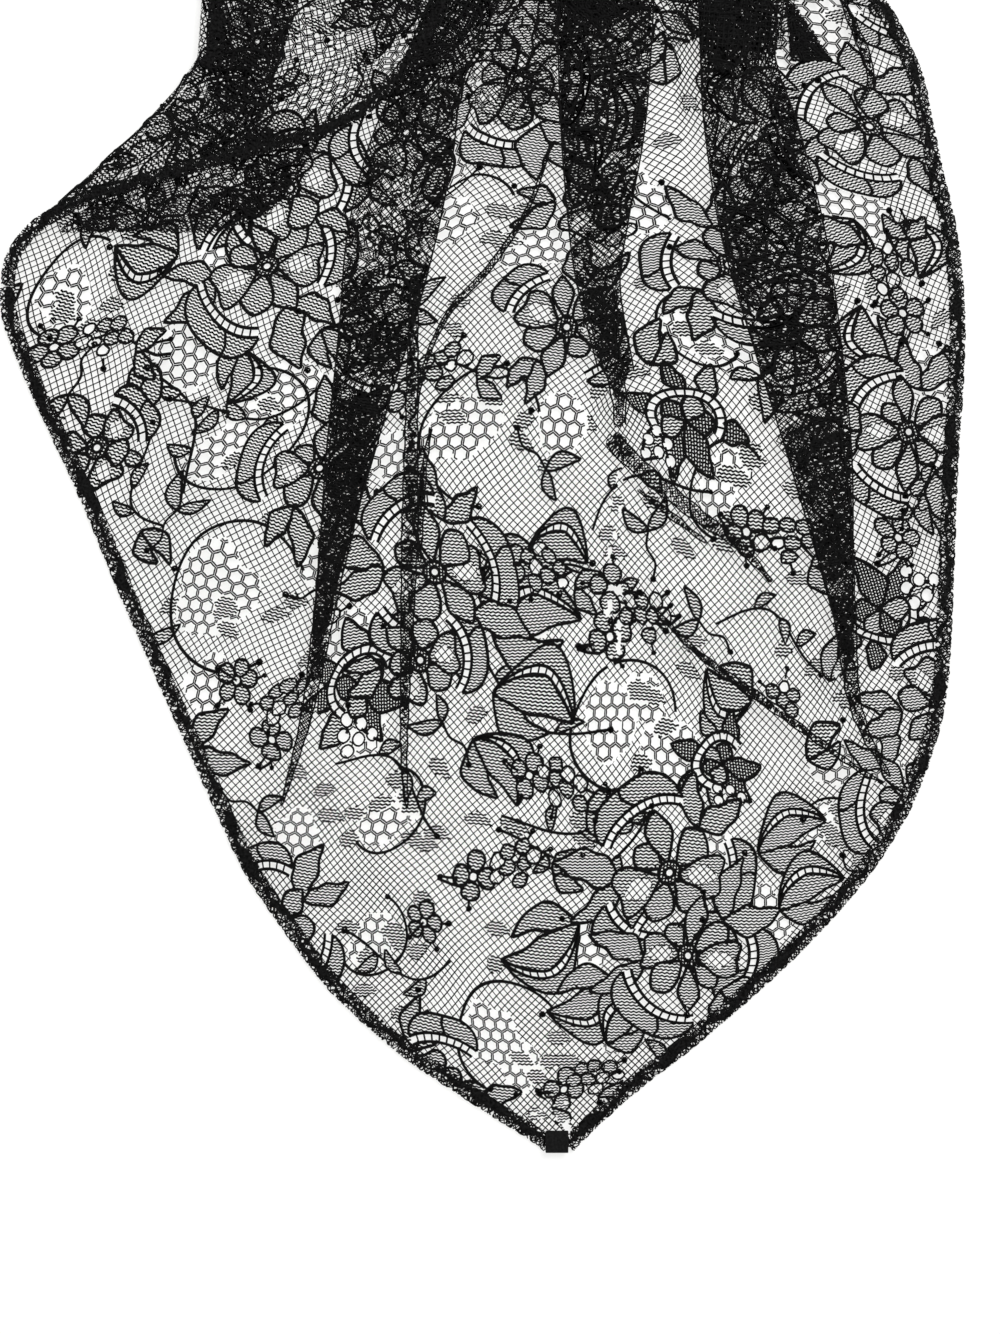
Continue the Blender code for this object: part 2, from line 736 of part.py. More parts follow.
def make_tail(name, side, slant, collection):
    """One end of the triangle beyond the knot: it widens, then runs out to the cloth's pointed corner."""
    angle = math.radians(90.0 - side * slant)
    along = (math.cos(angle), math.sin(angle))
    across = (-along[1], along[0])
    start = (KNOT[0] + along[0] * (KNOT_SIZE[0] / 2 + TAIL_CLEAR[0]),
             KNOT[1] + along[1] * (KNOT_SIZE[1] / 2 + TAIL_CLEAR[1]))
    rings = []
    for step in range(TAIL_ROWS + 1):
        share = step / TAIL_ROWS
        reach = TAIL_LENGTH * share
        spread = smooth(share / TAIL_WIDEST)
        if share > TAIL_WIDEST:
            spread = 1.0 - (1.0 - TAIL_POINT) * (share - TAIL_WIDEST) / (1.0 - TAIL_WIDEST)
        half = TAIL_ROOT * (1 - share) + TAIL_HALF * spread
        bend = TAIL_BEND * side * share * share
        middle = (start[0] + along[0] * reach + across[0] * bend,
                  start[1] + along[1] * reach + across[1] * bend)
        upper = []
        lower = []
        for column in range(9):
            place = column / 4 - 1
            fold = TAIL_FOLD * math.cos(place * math.pi * 1.5) ** 2 * (1 - 0.7 * share)
            edge = 1.0 if abs(place) == 1 else TAIL_THICK + fold
            x = middle[0] + across[0] * half * place
            y = middle[1] + across[1] * half * place
            upper.append((x, y, edge))
            lower.append((x, y, 0.0))
        rings.append(upper + lower[::-1])
    material = make_material("lace_" + name, LACE_BLACK, 0.75)
    return loft(name, rings, material, collection)


def make_tab(collection):
    """Small plain tab on the hems where they meet at the tip."""
    width, length, thick = TAB_SIZE
    shape = bmesh.new()
    bmesh.ops.create_cube(shape, size=1.0)
    base = HEM_THICK + GAP
    for vertex in shape.verts:
        x, y, z = vertex.co
        vertex.co = placed(TAB_MIDDLE[0] + x * width, TAB_MIDDLE[1] + y * length, base + (z + 0.5) * thick)
    material = make_material("tab_black", HEM_BLACK, 0.6)
    tab = new_object("tip_tab", shape, material, collection)
    bevel = tab.modifiers.new("soft_edges", "BEVEL")
    bevel.width = 0.25 * MM
    bevel.segments = 2
    return tab


def main():
    for item in list(bpy.data.objects):
        bpy.data.objects.remove(item, do_unlink=True)
    collection = bpy.data.collections.new("lace_bandana")
    bpy.context.scene.collection.children.link(collection)
    make_panel(collection)
    make_tuck(collection)
    make_left_end(collection)
    make_right_end(collection)
    make_hems(collection)
    make_neck(collection)
    make_knot(collection)
    make_tail("tail_left", -1, TAIL_SLANTS["left"], collection)
    make_tail("tail_right", 1, TAIL_SLANTS["right"], collection)
    make_tab(collection)


main()
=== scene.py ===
"""Looks of the lace bandana: black lace laid flat, whose clothwork, cords and hems are real threads.

The fine net is one thin shell for each stretch, with its holes in the material. Lengths are millimetres,
turned into metres when a mesh is made. Two kinds of places are used: a laid place is (x, height above the
tip) as the cloth lies, and a cloth place is (p, q) on the lace as it was before it was pleated.
"""

import math
from collections import namedtuple

import bpy
import numpy as np
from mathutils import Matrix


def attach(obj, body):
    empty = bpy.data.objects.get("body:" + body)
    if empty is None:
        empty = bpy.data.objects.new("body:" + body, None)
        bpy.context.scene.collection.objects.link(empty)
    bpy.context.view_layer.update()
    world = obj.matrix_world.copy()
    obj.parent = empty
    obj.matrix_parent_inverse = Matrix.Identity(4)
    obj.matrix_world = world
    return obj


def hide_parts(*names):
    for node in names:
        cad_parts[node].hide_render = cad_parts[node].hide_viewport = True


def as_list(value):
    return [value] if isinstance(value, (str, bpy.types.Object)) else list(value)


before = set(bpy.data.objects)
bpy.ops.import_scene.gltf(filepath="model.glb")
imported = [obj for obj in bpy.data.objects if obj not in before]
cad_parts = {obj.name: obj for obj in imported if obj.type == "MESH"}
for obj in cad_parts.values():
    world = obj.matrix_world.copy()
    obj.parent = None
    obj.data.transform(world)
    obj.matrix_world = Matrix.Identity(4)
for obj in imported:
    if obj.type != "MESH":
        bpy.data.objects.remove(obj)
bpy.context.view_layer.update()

# ---- the frame's own dimensions ----
MM = 0.001
WALL = 1.0              # thickness of the solid cloth
GAP = 0.3               # between its layers
HEM_WIDTH = 4.2
HEM_THICK = 1.4
PLEAT_STEP = WALL + GAP
TURN = PLEAT_STEP / 2   # radius of a pleat's folds
PLEAT_RISE = 2 * PLEAT_STEP
RIDGE_RUN = 13.0        # length over which a pleat starts as a soft ridge
ROLL_RUN = 7.0          # length over which the ridge then rolls over
RAMP = 6.5              # width of the slope that climbs a pleat
SLOPE_WIDTH = 5.0       # width of a pleat's far side while it is a ridge
TURN_POINTS = 6
PLEAT_START = 121.0     # height of the lowest pleat's start
GATHER_RUN = 34.0       # length below it over which the grid is drawn together
PANEL_TOP = 335.5
HEM_TURN = 240.0        # height at which the left hem turns on to the folded end
FOLD_FULL = (258.0, 7.0)    # height at which the panel's left side becomes a fold, and over what length
CENTRE_X = 0.04
CENTRE_Y = 223.36       # height above the tip of the frame's origin

# ---- the grid of the main stretch ----
PANEL_LOW = 6.0         # height of its lowest row
ROW_STEP = 1.45
FLAT_COLUMNS = {"left": 82, "centre": 62, "right": 48, None: 42}    # up to each pleat, and after the last one
PLEAT_COLUMNS = 64
OPENING_REACH = math.radians(125)   # how far round its start a pleat turns the cloth
NEAR = 1.0              # fineness of the table that finds a cloth place in a grid
MATCH = 0.12            # how near a found place has to come

# ---- the lace ----
NET_PITCH = 1.45        # side of the fine net's squares
NET_THREAD = 0.318
NET_EDGE = 0.6          # how far round a place its edge is smoothed
HATCH_PITCH = 0.76      # rows of the clothwork in petals and leaves
HATCH_THREAD = 0.43
HATCH_WAVE = 0.15
HATCH_STEP = 0.33
GREY_PITCH = 0.76       # rows of the small leaves that have no cord
GREY_THREAD = 0.46
HEX_PITCH = 3.3         # large six-sided mesh
HEX_THREAD = 0.38
HEX_LOOP = 0.425        # half width of its loops, as a share of the pitch
HEX_CORNER = 1.19       # how much further out their corners are
HEX_ROW = 0.87          # distance between rows of them, as a share of the pitch
HEX_OVER = 1.6          # how far outside its ground a loop's middle may lie
CORD = 0.76             # outline cord round petals and along stems
FINE_CORD = 0.46        # rungs and veins
STEM_CORD = CORD * 0.9
THIN_CORD = CORD * 0.8  # stubs, and round small pods and leaves
LACE_LEVEL = 0.5        # height of the lace's middle above the surface that it lies on


def table(columns, rows):
    """A short table as rows with named columns."""
    row_type = namedtuple("Row", columns)
    return tuple(row_type(*row) for row in rows)


OUTLINE = table("height left right", (
    (0.0, 20.0, 24.0),
    (5.0, 14.0, 28.0),
    (13.5, 0.5, 37.0),
    (22.0, -12.5, 47.0),
    (30.0, -24.0, 57.5),
    (47.0, -42.5, 77.5),
    (64.0, -55.5, 95.0),
    (80.5, -66.5, 109.0),
    (97.5, -74.5, 119.5),
    (114.0, -82.0, 126.0),
    (131.0, -89.5, 130.0),
    (156.0, -100.5, 131.5),
    (181.5, -111.0, 132.5),
    (198.0, -118.5, 133.2),
    (215.0, -126.5, 134.4),
    (232.0, -133.2, 135.0),
    (240.0, -134.8, 134.8),
    (248.5, -134.8, 134.2),
    (257.0, -130.5, 133.0),
    (265.5, -120.5, 131.5),
    (274.0, -111.0, 129.4),
    (290.5, -93.5, 126.0),
    (299.0, -85.8, 124.2),
    (307.5, -80.0, 121.6),
    (324.0, -78.8, 113.0),
    (335.5, -78.5, 103.0),
))

# Each pleat: which side its top layer comes from, the angle of lace that it hides (degrees), and the edges of
# its layers at some heights, the lowest row being its starting point.
PLEATS = {
    "left": {
        "top_layer_from": "right",
        "hidden": 18.0,
        "rows": table("height left right", (
            (121.0, -49.5, -49.5),
            (146.5, -47.2, -44.0),
            (164.5, -45.6, -39.5),
            (195.5, -43.6, -30.5),
            (215.0, -41.6, -24.8),
            (235.0, -39.6, -18.5),
            (258.0, -37.6, -12.6),
            (281.5, -32.0, -8.0),
            (300.0, -24.5, -5.5),
            (324.0, -14.5, 5.0),
            (335.5, -9.0, 10.0),
        )),
    },
    "centre": {
        "top_layer_from": "left",
        "hidden": 27.0,
        "rows": table("height left right", (
            (194.0, 39.0, 39.0),
            (206.0, 37.0, 41.5),
            (220.0, 32.5, 42.4),
            (244.0, 26.5, 38.5),
            (262.0, 24.0, 40.8),
            (288.5, 22.0, 45.5),
            (324.0, 21.0, 48.0),
            (335.5, 22.5, 48.5),
        )),
    },
    "right": {
        "top_layer_from": "left",
        "hidden": 22.0,
        "rows": table("height left right", (
            (121.0, 102.8, 102.8),
            (142.0, 100.6, 103.0),
            (164.5, 94.5, 103.4),
            (195.5, 85.5, 103.2),
            (226.0, 76.0, 100.4),
            (257.5, 66.8, 96.0),
            (288.5, 62.0, 88.2),
            (306.5, 61.0, 82.0),
            (335.5, 60.0, 78.0),
        )),
    },
}

# Soft folds of the single layer: crest from start to end, its rise above the flat cloth and half its width.
RIDGES = table("start_x start_y end_x end_y rise half_width", (
    (46.0, 192.0, 73.0, 169.5, 2.4, 5.0),
    (73.0, 169.5, 84.0, 150.0, 1.8, 4.5),
    (42.0, 159.0, 60.0, 140.5, 2.6, 5.0),
    (60.0, 140.5, 104.0, 106.0, 3.0, 5.5),
    (-19.0, 225.0, -21.0, 112.0, 1.6, 4.0),
    (-50.0, 112.0, -56.0, 78.0, 1.4, 8.0),
    (4.0, 250.0, 8.0, 150.0, 1.2, 9.0),
    (-90.0, 240.0, -78.0, 150.0, 1.5, 12.0),
    (116.0, 250.0, 119.0, 150.0, 1.2, 7.0),
    (95.0, 322.0, 109.0, 308.0, 1.8, 4.0),
    (101.0, 303.0, 90.5, 288.0, 1.4, 3.5),
))

# Narrow tight folds in the single layer: width at the start, middle and end, and the line of each.
CREASES = (
    ((2.2, 5.0, 1.0), ((-18.6, 250.0), (-19.4, 222.0), (-20.4, 167.0), (-21.8, 118.0), (-21.0, 96.0))),
    ((0.5, 2.0, 0.5), ((-14.0, 206.0), (-16.5, 190.0), (-17.5, 165.0))),
    ((5.5, 4.2, 0.9), ((35.0, 203.0), (41.0, 196.0), (50.0, 188.0), (61.0, 179.2), (72.0, 171.0),
                       (82.0, 160.0))),
    ((0.5, 1.8, 0.5), ((42.0, 188.0), (52.0, 180.5), (64.0, 171.0))),
    ((0.7, 2.6, 0.6), ((46.0, 156.0), (60.0, 141.5), (80.0, 127.0), (104.0, 109.5), (114.0, 104.5))),
    ((16.0, 6.5, 0.5), ((-33.4, 214.0), (-37.2, 194.0), (-42.0, 166.0), (-45.4, 144.0), (-49.5, 122.0),
                        (-56.5, 97.0))),
    ((19.0, 7.5, 0.5), ((90.3, 208.0), (95.0, 190.0), (98.8, 168.0), (101.6, 148.0), (103.6, 130.0),
                        (108.0, 117.0), (115.0, 105.0))),
    ((11.0, 6.0, 3.0), ((32.5, 244.0), (35.0, 228.0), (38.0, 214.0), (38.5, 203.0))),
    ((0.5, 1.8, 0.5), ((20.0, 286.0), (13.0, 266.0), (2.0, 249.0), (-9.0, 237.0), (-16.0, 222.0),
                       (-18.8, 206.0))),
    ((0.8, 2.8, 0.6), ((97.0, 333.0), (103.0, 318.0), (108.5, 303.0), (104.0, 292.0))),
)
CREASE_LEVELS = (0.3, 0.6)      # their two further layers above the lace
CREASE_COLUMNS = 11
CREASE_EDGE = 0.46              # thread along their edges, and along those of the pleats

# The folded left end: its free edge, and its level, which climbs away from the corner that it is folded at.
LEFT_END_EDGE = (
    (-132.7, 244.2), (-132.4, 247.4), (-131.2, 252.0), (-126.8, 258.2), (-119.4, 263.6),
    (-108.0, 268.6), (-94.0, 273.2), (-78.0, 277.6), (-60.0, 282.6), (-45.0, 286.6),
    (-34.0, 292.4), (-25.0, 300.4), (-17.5, 311.0), (-10.5, 323.0), (-4.0, 335.2),
)
LEFT_END_START = 264.0
LEFT_END_WIDTH = 125.0
LEFT_END_SPIN = 24.0    # how its lace lies
LEFT_END_WINDOW = (10.0, 170.0)
LEFT_END_LOW = 2.4
LEFT_END_HIGH = 3.9
LEFT_END_CLIMB = 30.0
CORNER = (-131.0, 252.0)
UPPER_STEP = 1.3        # between the rows of the layers at the upper left

TUCK_START = 258.8
TUCK_END = 335.0
TUCK_LEVELS = (1.75, 2.9)   # of its lower layer, and of the upper one at most
TUCK = table("height left right", (
    (258.6, -118.0, -73.0),
    (261.0, -117.0, -66.0),
    (264.0, -112.5, -59.5),
    (269.0, -107.0, -54.6),
    (274.0, -98.0, -51.0),
    (278.0, -79.0, -49.0),
    (285.0, -77.6, -44.5),
    (288.5, -77.4, -62.0),
    (300.0, -77.2, -58.5),
    (312.0, -77.0, -54.5),
    (324.0, -76.8, -51.0),
    (335.0, -76.5, -47.0),
))
RIGHT_END = table("height left right", (
    (306.4, 85.7, 98.4),
    (311.0, 85.6, 95.2),
    (317.0, 85.2, 91.0),
    (323.0, 84.8, 87.2),
))
RIGHT_STEP = 0.9
# Layers of the small double fold at the right: name, level and window.
RIGHT_LAYERS = (
    ("right_end_lower", 1.8, (-39.0, -235.0)),
    ("right_end_upper", 2.8, (-106.0, -165.0)),
    ("right_end_outer", 3.5, (-30.0, -256.0)),
)
# Further layers where the cloth is drawn together near the top: name, level, window, spin and limits at some
# heights. A window moves a stretch to its place on the lace, once its spin has turned it, in degrees.
GATHERS = (
    ("gather_a", 3.7, (-30.0, -120.0), 20.0,
     ((299.0, 74.0, 75.0), (308.0, 62.0, 82.0), (335.4, 60.0, 87.0))),
    ("gather_b", 4.1, (-110.0, -60.0), -35.0,
     ((303.0, 66.0, 67.0), (309.0, 60.5, 84.0), (335.4, 59.0, 92.0))),
    ("gather_c", 4.5, (-60.0, -160.0), 50.0,
     ((306.0, 78.0, 80.0), (312.0, 61.0, 83.5), (335.4, 60.0, 86.0))),
    ("gather_d", 3.6, (10.0, -130.0), 10.0,
     ((296.0, 36.0, 37.0), (308.0, 22.0, 46.0), (335.4, 22.5, 48.5))),
    ("gather_e", 4.0, (30.0, -90.0), 38.0,
     ((312.0, 24.0, 25.0), (320.0, 22.0, 44.0), (335.4, 22.5, 48.5))),
    ("gather_f", 4.6, (40.0, -160.0), -20.0,
     ((296.0, -23.0, -22.0), (306.0, -19.0, -8.0), (335.4, -9.0, 7.0))),
    ("gather_g", 1.7, (-14.0, -66.0), 0.0,
     ((289.0, 2.0, 12.0), (294.0, -4.0, 21.0), (335.4, -2.0, 21.0))),
    ("gather_h", 1.7, (-20.0, -40.0), 15.0,
     ((311.0, 50.0, 56.0), (313.0, 46.0, 61.0), (335.4, 47.0, 60.0))),
)
NECK = table("height left right crown", (
    (335.8, -78.0, 101.0, 4.6),
    (339.5, -76.0, 98.0, 5.2),
    (346.0, -66.0, 90.5, 6.2),
    (353.0, -48.0, 81.0, 7.4),
    (360.0, -24.0, 71.5, 8.6),
    (367.0, 3.0, 62.5, 9.8),
    (373.5, 22.0, 56.5, 10.8),
    (379.3, 32.0, 54.5, 11.4),
))
NECK_FLUTES = 11
NECK_LOW = 334.7        # the gathered cloth begins just under the panel's top
NECK_HIGH = 383.0
NECK_STEP = 1.2         # between the rows of its layers
NECK_COLUMNS = 190
NECK_CUT = 330.0        # width of the lace that is gathered in it
NECK_CLOSED = 356.0     # height up to which the gathered layers close up
KNOT = (44.0, 391.0)    # its middle
KNOT_SIZE = (30.0, 22.0, 15.0)
TAILS = (               # name, side, slant and window
    ("tail_left", -1, 48.0, (-18.0, 60.0)),
    ("tail_right", 1, 62.0, (52.0, 40.0)),
)
TAIL_LENGTH = 58.0
TAIL_HALF = 10.5        # half width where it is widest
TAIL_ROOT = 4.5
TAIL_WIDEST = 0.42      # share of its length at which it is widest
TAIL_POINT = 0.07
TAIL_BEND = 7.0
TAIL_THICK = 2.0
TAIL_FOLD = 1.6
TAIL_CLEAR = (-2.6, -2.0)   # how far inside the knot's outline it starts

# ---- motifs of the lace, at their laid places: ordinary garden flowers, leaves, florets and hoops ----
FLOWERS = table("x height radius petals turn", (
    (-60.8, 249.0, 14.5, 7, 10),
    (-54.0, 272.0, 12.5, 6, 40),
    (9.2, 301.8, 14.0, 7, 5),
    (109.5, 288.4, 13.5, 7, 25),
    (119.5, 203.3, 13.0, 8, 0),
    (-12.6, 163.8, 14.5, 7, 15),
    (-16.5, 140.0, 11.0, 6, 35),
    (51.5, 79.8, 15.0, 7, 12),
    (58.5, 56.8, 14.0, 8, 30),
    (70.0, 250.0, 12.0, 7, 50),
    (-108.0, 199.0, 9.5, 6, 20),
    (33.0, 268.0, 11.0, 6, 0),
))
# The petals in turn: length and width beside the flower's radius, and how notched or pointed their tip is.
PETALS = ((1.02, 0.86, 1.0, 0.0), (0.88, 0.62, 0.0, 0.1), (1.06, 0.52, 0.0, 1.0), (0.70, 0.46, 0.0, 0.0))
ROSES = table("x height size turn", (
    (58.2, 206.6, 13.5, 20),
    (-33.5, 132.0, 14.5, 70),
    (110.5, 153.4, 15.0, 200),
    (66.6, 110.0, 11.0, 120),
))
ROSE_HOLES = ((0.55, -0.2), (0.8, -0.2), (0.55, 0.08), (0.8, 0.08), (1.03, -0.06), (0.68, 0.32))
HOOPS = table("x height radius sweep turn", (
    (-0.6, 203.8, 15.5, 250, 25),
    (-67.8, 156.2, 17.5, 270, 20),
    (38.6, 121.6, 14.5, 240, 10),
    (6.4, 34.0, 14.5, 265, 5),
    (-66.0, 204.0, 15.5, 240, 190),
    (70.0, 186.0, 11.0, 200, 30),
    (-112.0, 243.0, 12.0, 180, 60),
    (-28.0, 98.0, 10.0, 200, 180),
    (-32.0, 64.0, 11.0, 190, 200),
    (98.0, 92.0, 9.0, 170, 20),
    (-5.0, 262.0, 12.0, 200, 30),
    (60.0, 232.0, 9.0, 220, 100),
))
CHAINS = table("x height length turn", (
    (-12.0, 219.0, 30, 12),
    (22.0, 163.0, 38, -8),
    (25.0, 102.0, 34, 14),
    (7.0, 79.5, 30, 4),
    (-108.0, 228.0, 30, -20),
    (84.0, 171.0, 26, -35),
    (40.0, 148.5, 22, 30),
    (-58.0, 122.0, 20, 70),
    (116.0, 246.0, 26, 80),
    (118.0, 178.0, 22, 60),
    (28.0, 20.5, 16, 30),
))
LEAVES = table("x height length width turn", (
    (-2.0, 158.0, 22, 9, 12),
    (2.0, 146.0, 25, 10, 8),
    (4.0, 131.0, 22, 9, -22),
    (-2.0, 118.0, 19, 8, -60),
    (14.0, 171.0, 16, 7, -10),
    (-30.0, 175.0, 13, 6, 120),
    (28.0, 66.0, 22, 8, 205),
    (36.0, 50.0, 20, 8, 215),
    (78.0, 86.0, 20, 8, 40),
    (84.0, 70.0, 18, 7, 55),
    (70.0, 38.0, 16, 7, 60),
    (74.0, 128.0, 15, 7, 150),
    (-85.0, 253.0, 16, 7, 190),
    (-44.0, 232.0, 14, 6, 300),
    (-66.0, 226.0, 14, 6, 250),
    (-92.0, 222.0, 13, 6, 230),
    (113.0, 222.0, 15, 7, 110),
    (126.0, 186.0, 13, 6, 280),
    (104.0, 262.0, 15, 6, 240),
    (120.0, 262.0, 14, 6, 280),
    (-8.0, 281.0, 13, 6, 240),
    (22.0, 286.0, 14, 6, 300),
    (-96.0, 176.0, 12, 5, 290),
    (-38.0, 46.0, 14, 6, 140),
    (-20.0, 30.0, 13, 6, 30),
    (36.0, 32.0, 15, 6, 70),
    (90.0, 112.0, 13, 6, 80),
    (96.0, 134.0, 13, 6, 100),
    (46.0, 222.0, 12, 6, 60),
    (50.0, 300.0, 13, 6, 100),
    (70.0, 290.0, 14, 6, 80),
))
STEMS = table("x height reach bend turn", (
    (10.0, 160.0, 42, 9, 4),
    (-4.0, 150.0, 46, -12, -28),
    (-46.0, 216.0, 36, 8, 190),
    (-84.0, 186.0, 34, -9, 100),
    (30.0, 175.0, 34, 10, 20),
    (-40.0, 110.0, 34, 9, 280),
    (6.0, 96.0, 40, -10, -8),
    (48.0, 98.0, 40, 12, 190),
    (100.0, 188.0, 30, 8, 70),
    (88.0, 214.0, 36, -9, 100),
    (-20.0, 244.0, 30, 9, 80),
    (-96.0, 150.0, 26, 7, 120),
    (-10.0, 56.0, 30, 9, 160),
    (60.0, 30.0, 26, -8, 30),
    (66.0, 150.0, 34, 9, -30),
    (52.0, 262.0, 30, 8, 95),
))
POD_CELL = 3.7          # distance between the small cells of a patch
LADDER_WIDE = 2.1       # distance between the two cords of a ladder
LADDER_STEP = 2.0       # distance between its rungs
HEM_STEP = 0.9          # between the points of a hem's path
HEM_FOOT = 3.4          # lowest height of the two sides' hems
SIDE_HEM_START = 304.0  # where the hem of the long edge comes out on the folded end
SIDE_HEM_INSET = 5.6
HEM_THREAD = 0.33
HEM_LOOP_STEP = 0.62    # how close the loops on a hem lie, in steps of its path
HEM_SLANTS = ((2.2, 1.9), (-2.2, 2.1), (0.7, 3.2), (-4.6, 2.6), (5.5, 2.8))  # slants and pitches of threads
# Fill-in motifs: the flowers' radius (0 for sprigs), the room that they need and the distance between them.
FILL_IN = ((12.5, 11.0, 20.0), (0.0, 5.6, 12.0))
GREY_LEAF = (7.4, 4.3)  # small leaves of clothwork with no cord
GREY_STEP = (9.5, 6.4)  # distance between them, sideways and upwards
SEED = 20
PHOTO_MIDDLE = (5.0, 137.5)    # laid place in the middle of the photo
PHOTO_TALL = 373.5             # how much of the cloth's plane the photo shows from top to bottom

CLOTH_LOW = (-215.0, -75.0)    # the stretch of lace that is worked out
CLOTH_HIGH = (265.0, 400.0)
CELL = 0.25                    # fineness of the map of grounds
NET, HEX, CLOTHWORK, DENSE, OPEN, GREY = range(6)
NET_UNDER = (1.0, 0.0, 0.35, 0.35, 0.0, 0.3)     # how far each ground lets the net run under its edge

rng = np.random.default_rng(SEED)


# ---- small helpers ----
def column(rows, name):
    return np.array([getattr(row, name) for row in rows])


def at_height(rows, height, name):
    return np.interp(height, column(rows, "height"), column(rows, name))


def smooth(value):
    value = np.clip(value, 0.0, 1.0)
    return value * value * (3.0 - 2.0 * value)


def curve_through(points, step):
    """Points about a step apart on a smooth curve through the given ones."""
    points = np.asarray(points, float)
    ends = np.vstack([2 * points[0] - points[1], points, 2 * points[-1] - points[-2]])
    t = np.linspace(0, 1, 9)[:-1, None]
    fine = []
    for a, b, c, d in zip(ends, ends[1:], ends[2:], ends[3:]):
        fine.append(0.5 * (2 * b + (c - a) * t + (2 * a - 5 * b + 4 * c - d) * t ** 2
                           + (3 * b - a - 3 * c + d) * t ** 3))
    fine.append(points[-1:])
    return even(np.vstack(fine), step)


def run_lengths(points):
    """Length along a run up to each of its points."""
    return np.concatenate([[0.0], np.cumsum(np.linalg.norm(np.diff(points, axis=0), axis=1))])


def between(points, known, wanted):
    """Points of a run at the wanted values, given the values at its own points."""
    return np.stack([np.interp(wanted, known, points[:, axis]) for axis in range(points.shape[1])], axis=1)


def even_count(points, count):
    """A run of points resampled to a given number of them."""
    lengths = run_lengths(points)
    return between(points, lengths, np.linspace(0, lengths[-1], count))


def even(points, step):
    """The same run of points, resampled at even steps."""
    points = np.asarray(points, float)
    return even_count(points, max(int(round(run_lengths(points)[-1] / step)), 1) + 1)


def closed(outline):
    """A closed outline as a run that ends where it starts."""
    return np.vstack([outline, outline[:1]])


def sideways(points):
    """Unit vectors to the left of a run of 2-D points."""
    ahead = np.gradient(points, axis=0)
    ahead /= np.maximum(np.linalg.norm(ahead, axis=1, keepdims=True), 1e-9)
    return np.stack([-ahead[:, 1], ahead[:, 0]], axis=1)


def turned(points, degrees, place=(0.0, 0.0)):
    """Points turned about the origin and moved to a place."""
    angle = math.radians(degrees)
    spin = np.array([[math.cos(angle), math.sin(angle)], [-math.sin(angle), math.cos(angle)]])
    return np.asarray(points) @ spin + np.asarray(place)


def spot_at(x, y, degrees, place):
    """The cloth place of one point of a motif."""
    return turned([(x, y)], degrees, place)[0]


def placed(points):
    """Points of the laid cloth, in millimetres, as places in the frame, in metres."""
    return (np.asarray(points) - (CENTRE_X, CENTRE_Y, 0.0)) * MM


# ---- the laid section, as in the frame's cloth_panel ----
def ridge_height(x, y):
    rise = np.zeros_like(x)
    for ridge in RIDGES:
        dx = ridge.end_x - ridge.start_x
        dy = ridge.end_y - ridge.start_y
        share = np.clip(((x - ridge.start_x) * dx + (y - ridge.start_y) * dy) / (dx * dx + dy * dy), 0, 1)
        away = np.hypot(x - ridge.start_x - share * dx, y - ridge.start_y - share * dy) / ridge.half_width
        rise = np.maximum(rise, ridge.rise * np.exp(-away * away))
    return rise


def left_end_level(x, y):
    away = np.hypot(x - CORNER[0], y - CORNER[1])
    return LEFT_END_LOW + (LEFT_END_HIGH - LEFT_END_LOW) * smooth(away / LEFT_END_CLIMB)


EDGE_CURVE = curve_through(LEFT_END_EDGE, 2.0)


def edge_x(height):
    """X of the folded end's free edge at a height."""
    return np.interp(height, EDGE_CURVE[:, 1], EDGE_CURVE[:, 0])


def panel_left(height):
    """Left limit of the lace: under the hem, then at the fold of the left end."""
    outer = at_height(OUTLINE, height, "left") + HEM_WIDTH - 1.0
    beside_edge = edge_x(height) + 1.0
    inside_fold = at_height(OUTLINE, height, "left") + 2.2
    if height < HEM_TURN:
        return outer
    share = smooth((height - FOLD_FULL[0]) / FOLD_FULL[1])
    return (1 - share) * min(beside_edge, outer + 4.0) + share * inside_fold


def panel_right(height):
    return at_height(OUTLINE, height, "right") - HEM_WIDTH + 1.0


def pleat_turn(stage, overlap):
    """Half of a knife pleat as (advance, drop), as a soft ridge that rolls over into a fold."""
    rolled = smooth(stage - 1.0)
    grown = smooth(stage)
    angles = np.pi * np.arange(TURN_POINTS + 1) / TURN_POINTS
    advance = np.concatenate([TURN * np.sin(angles), -overlap - TURN * np.sin(angles)])
    drop = np.concatenate([TURN * (1 - np.cos(angles)), PLEAT_STEP + TURN * (1 - np.cos(angles))])
    share = np.linspace(0, 1, len(advance))
    soft_advance = SLOPE_WIDTH * share
    soft_drop = PLEAT_RISE * grown * smooth(share)
    return (soft_advance + rolled * (advance - soft_advance), soft_drop + rolled * (drop - soft_drop))


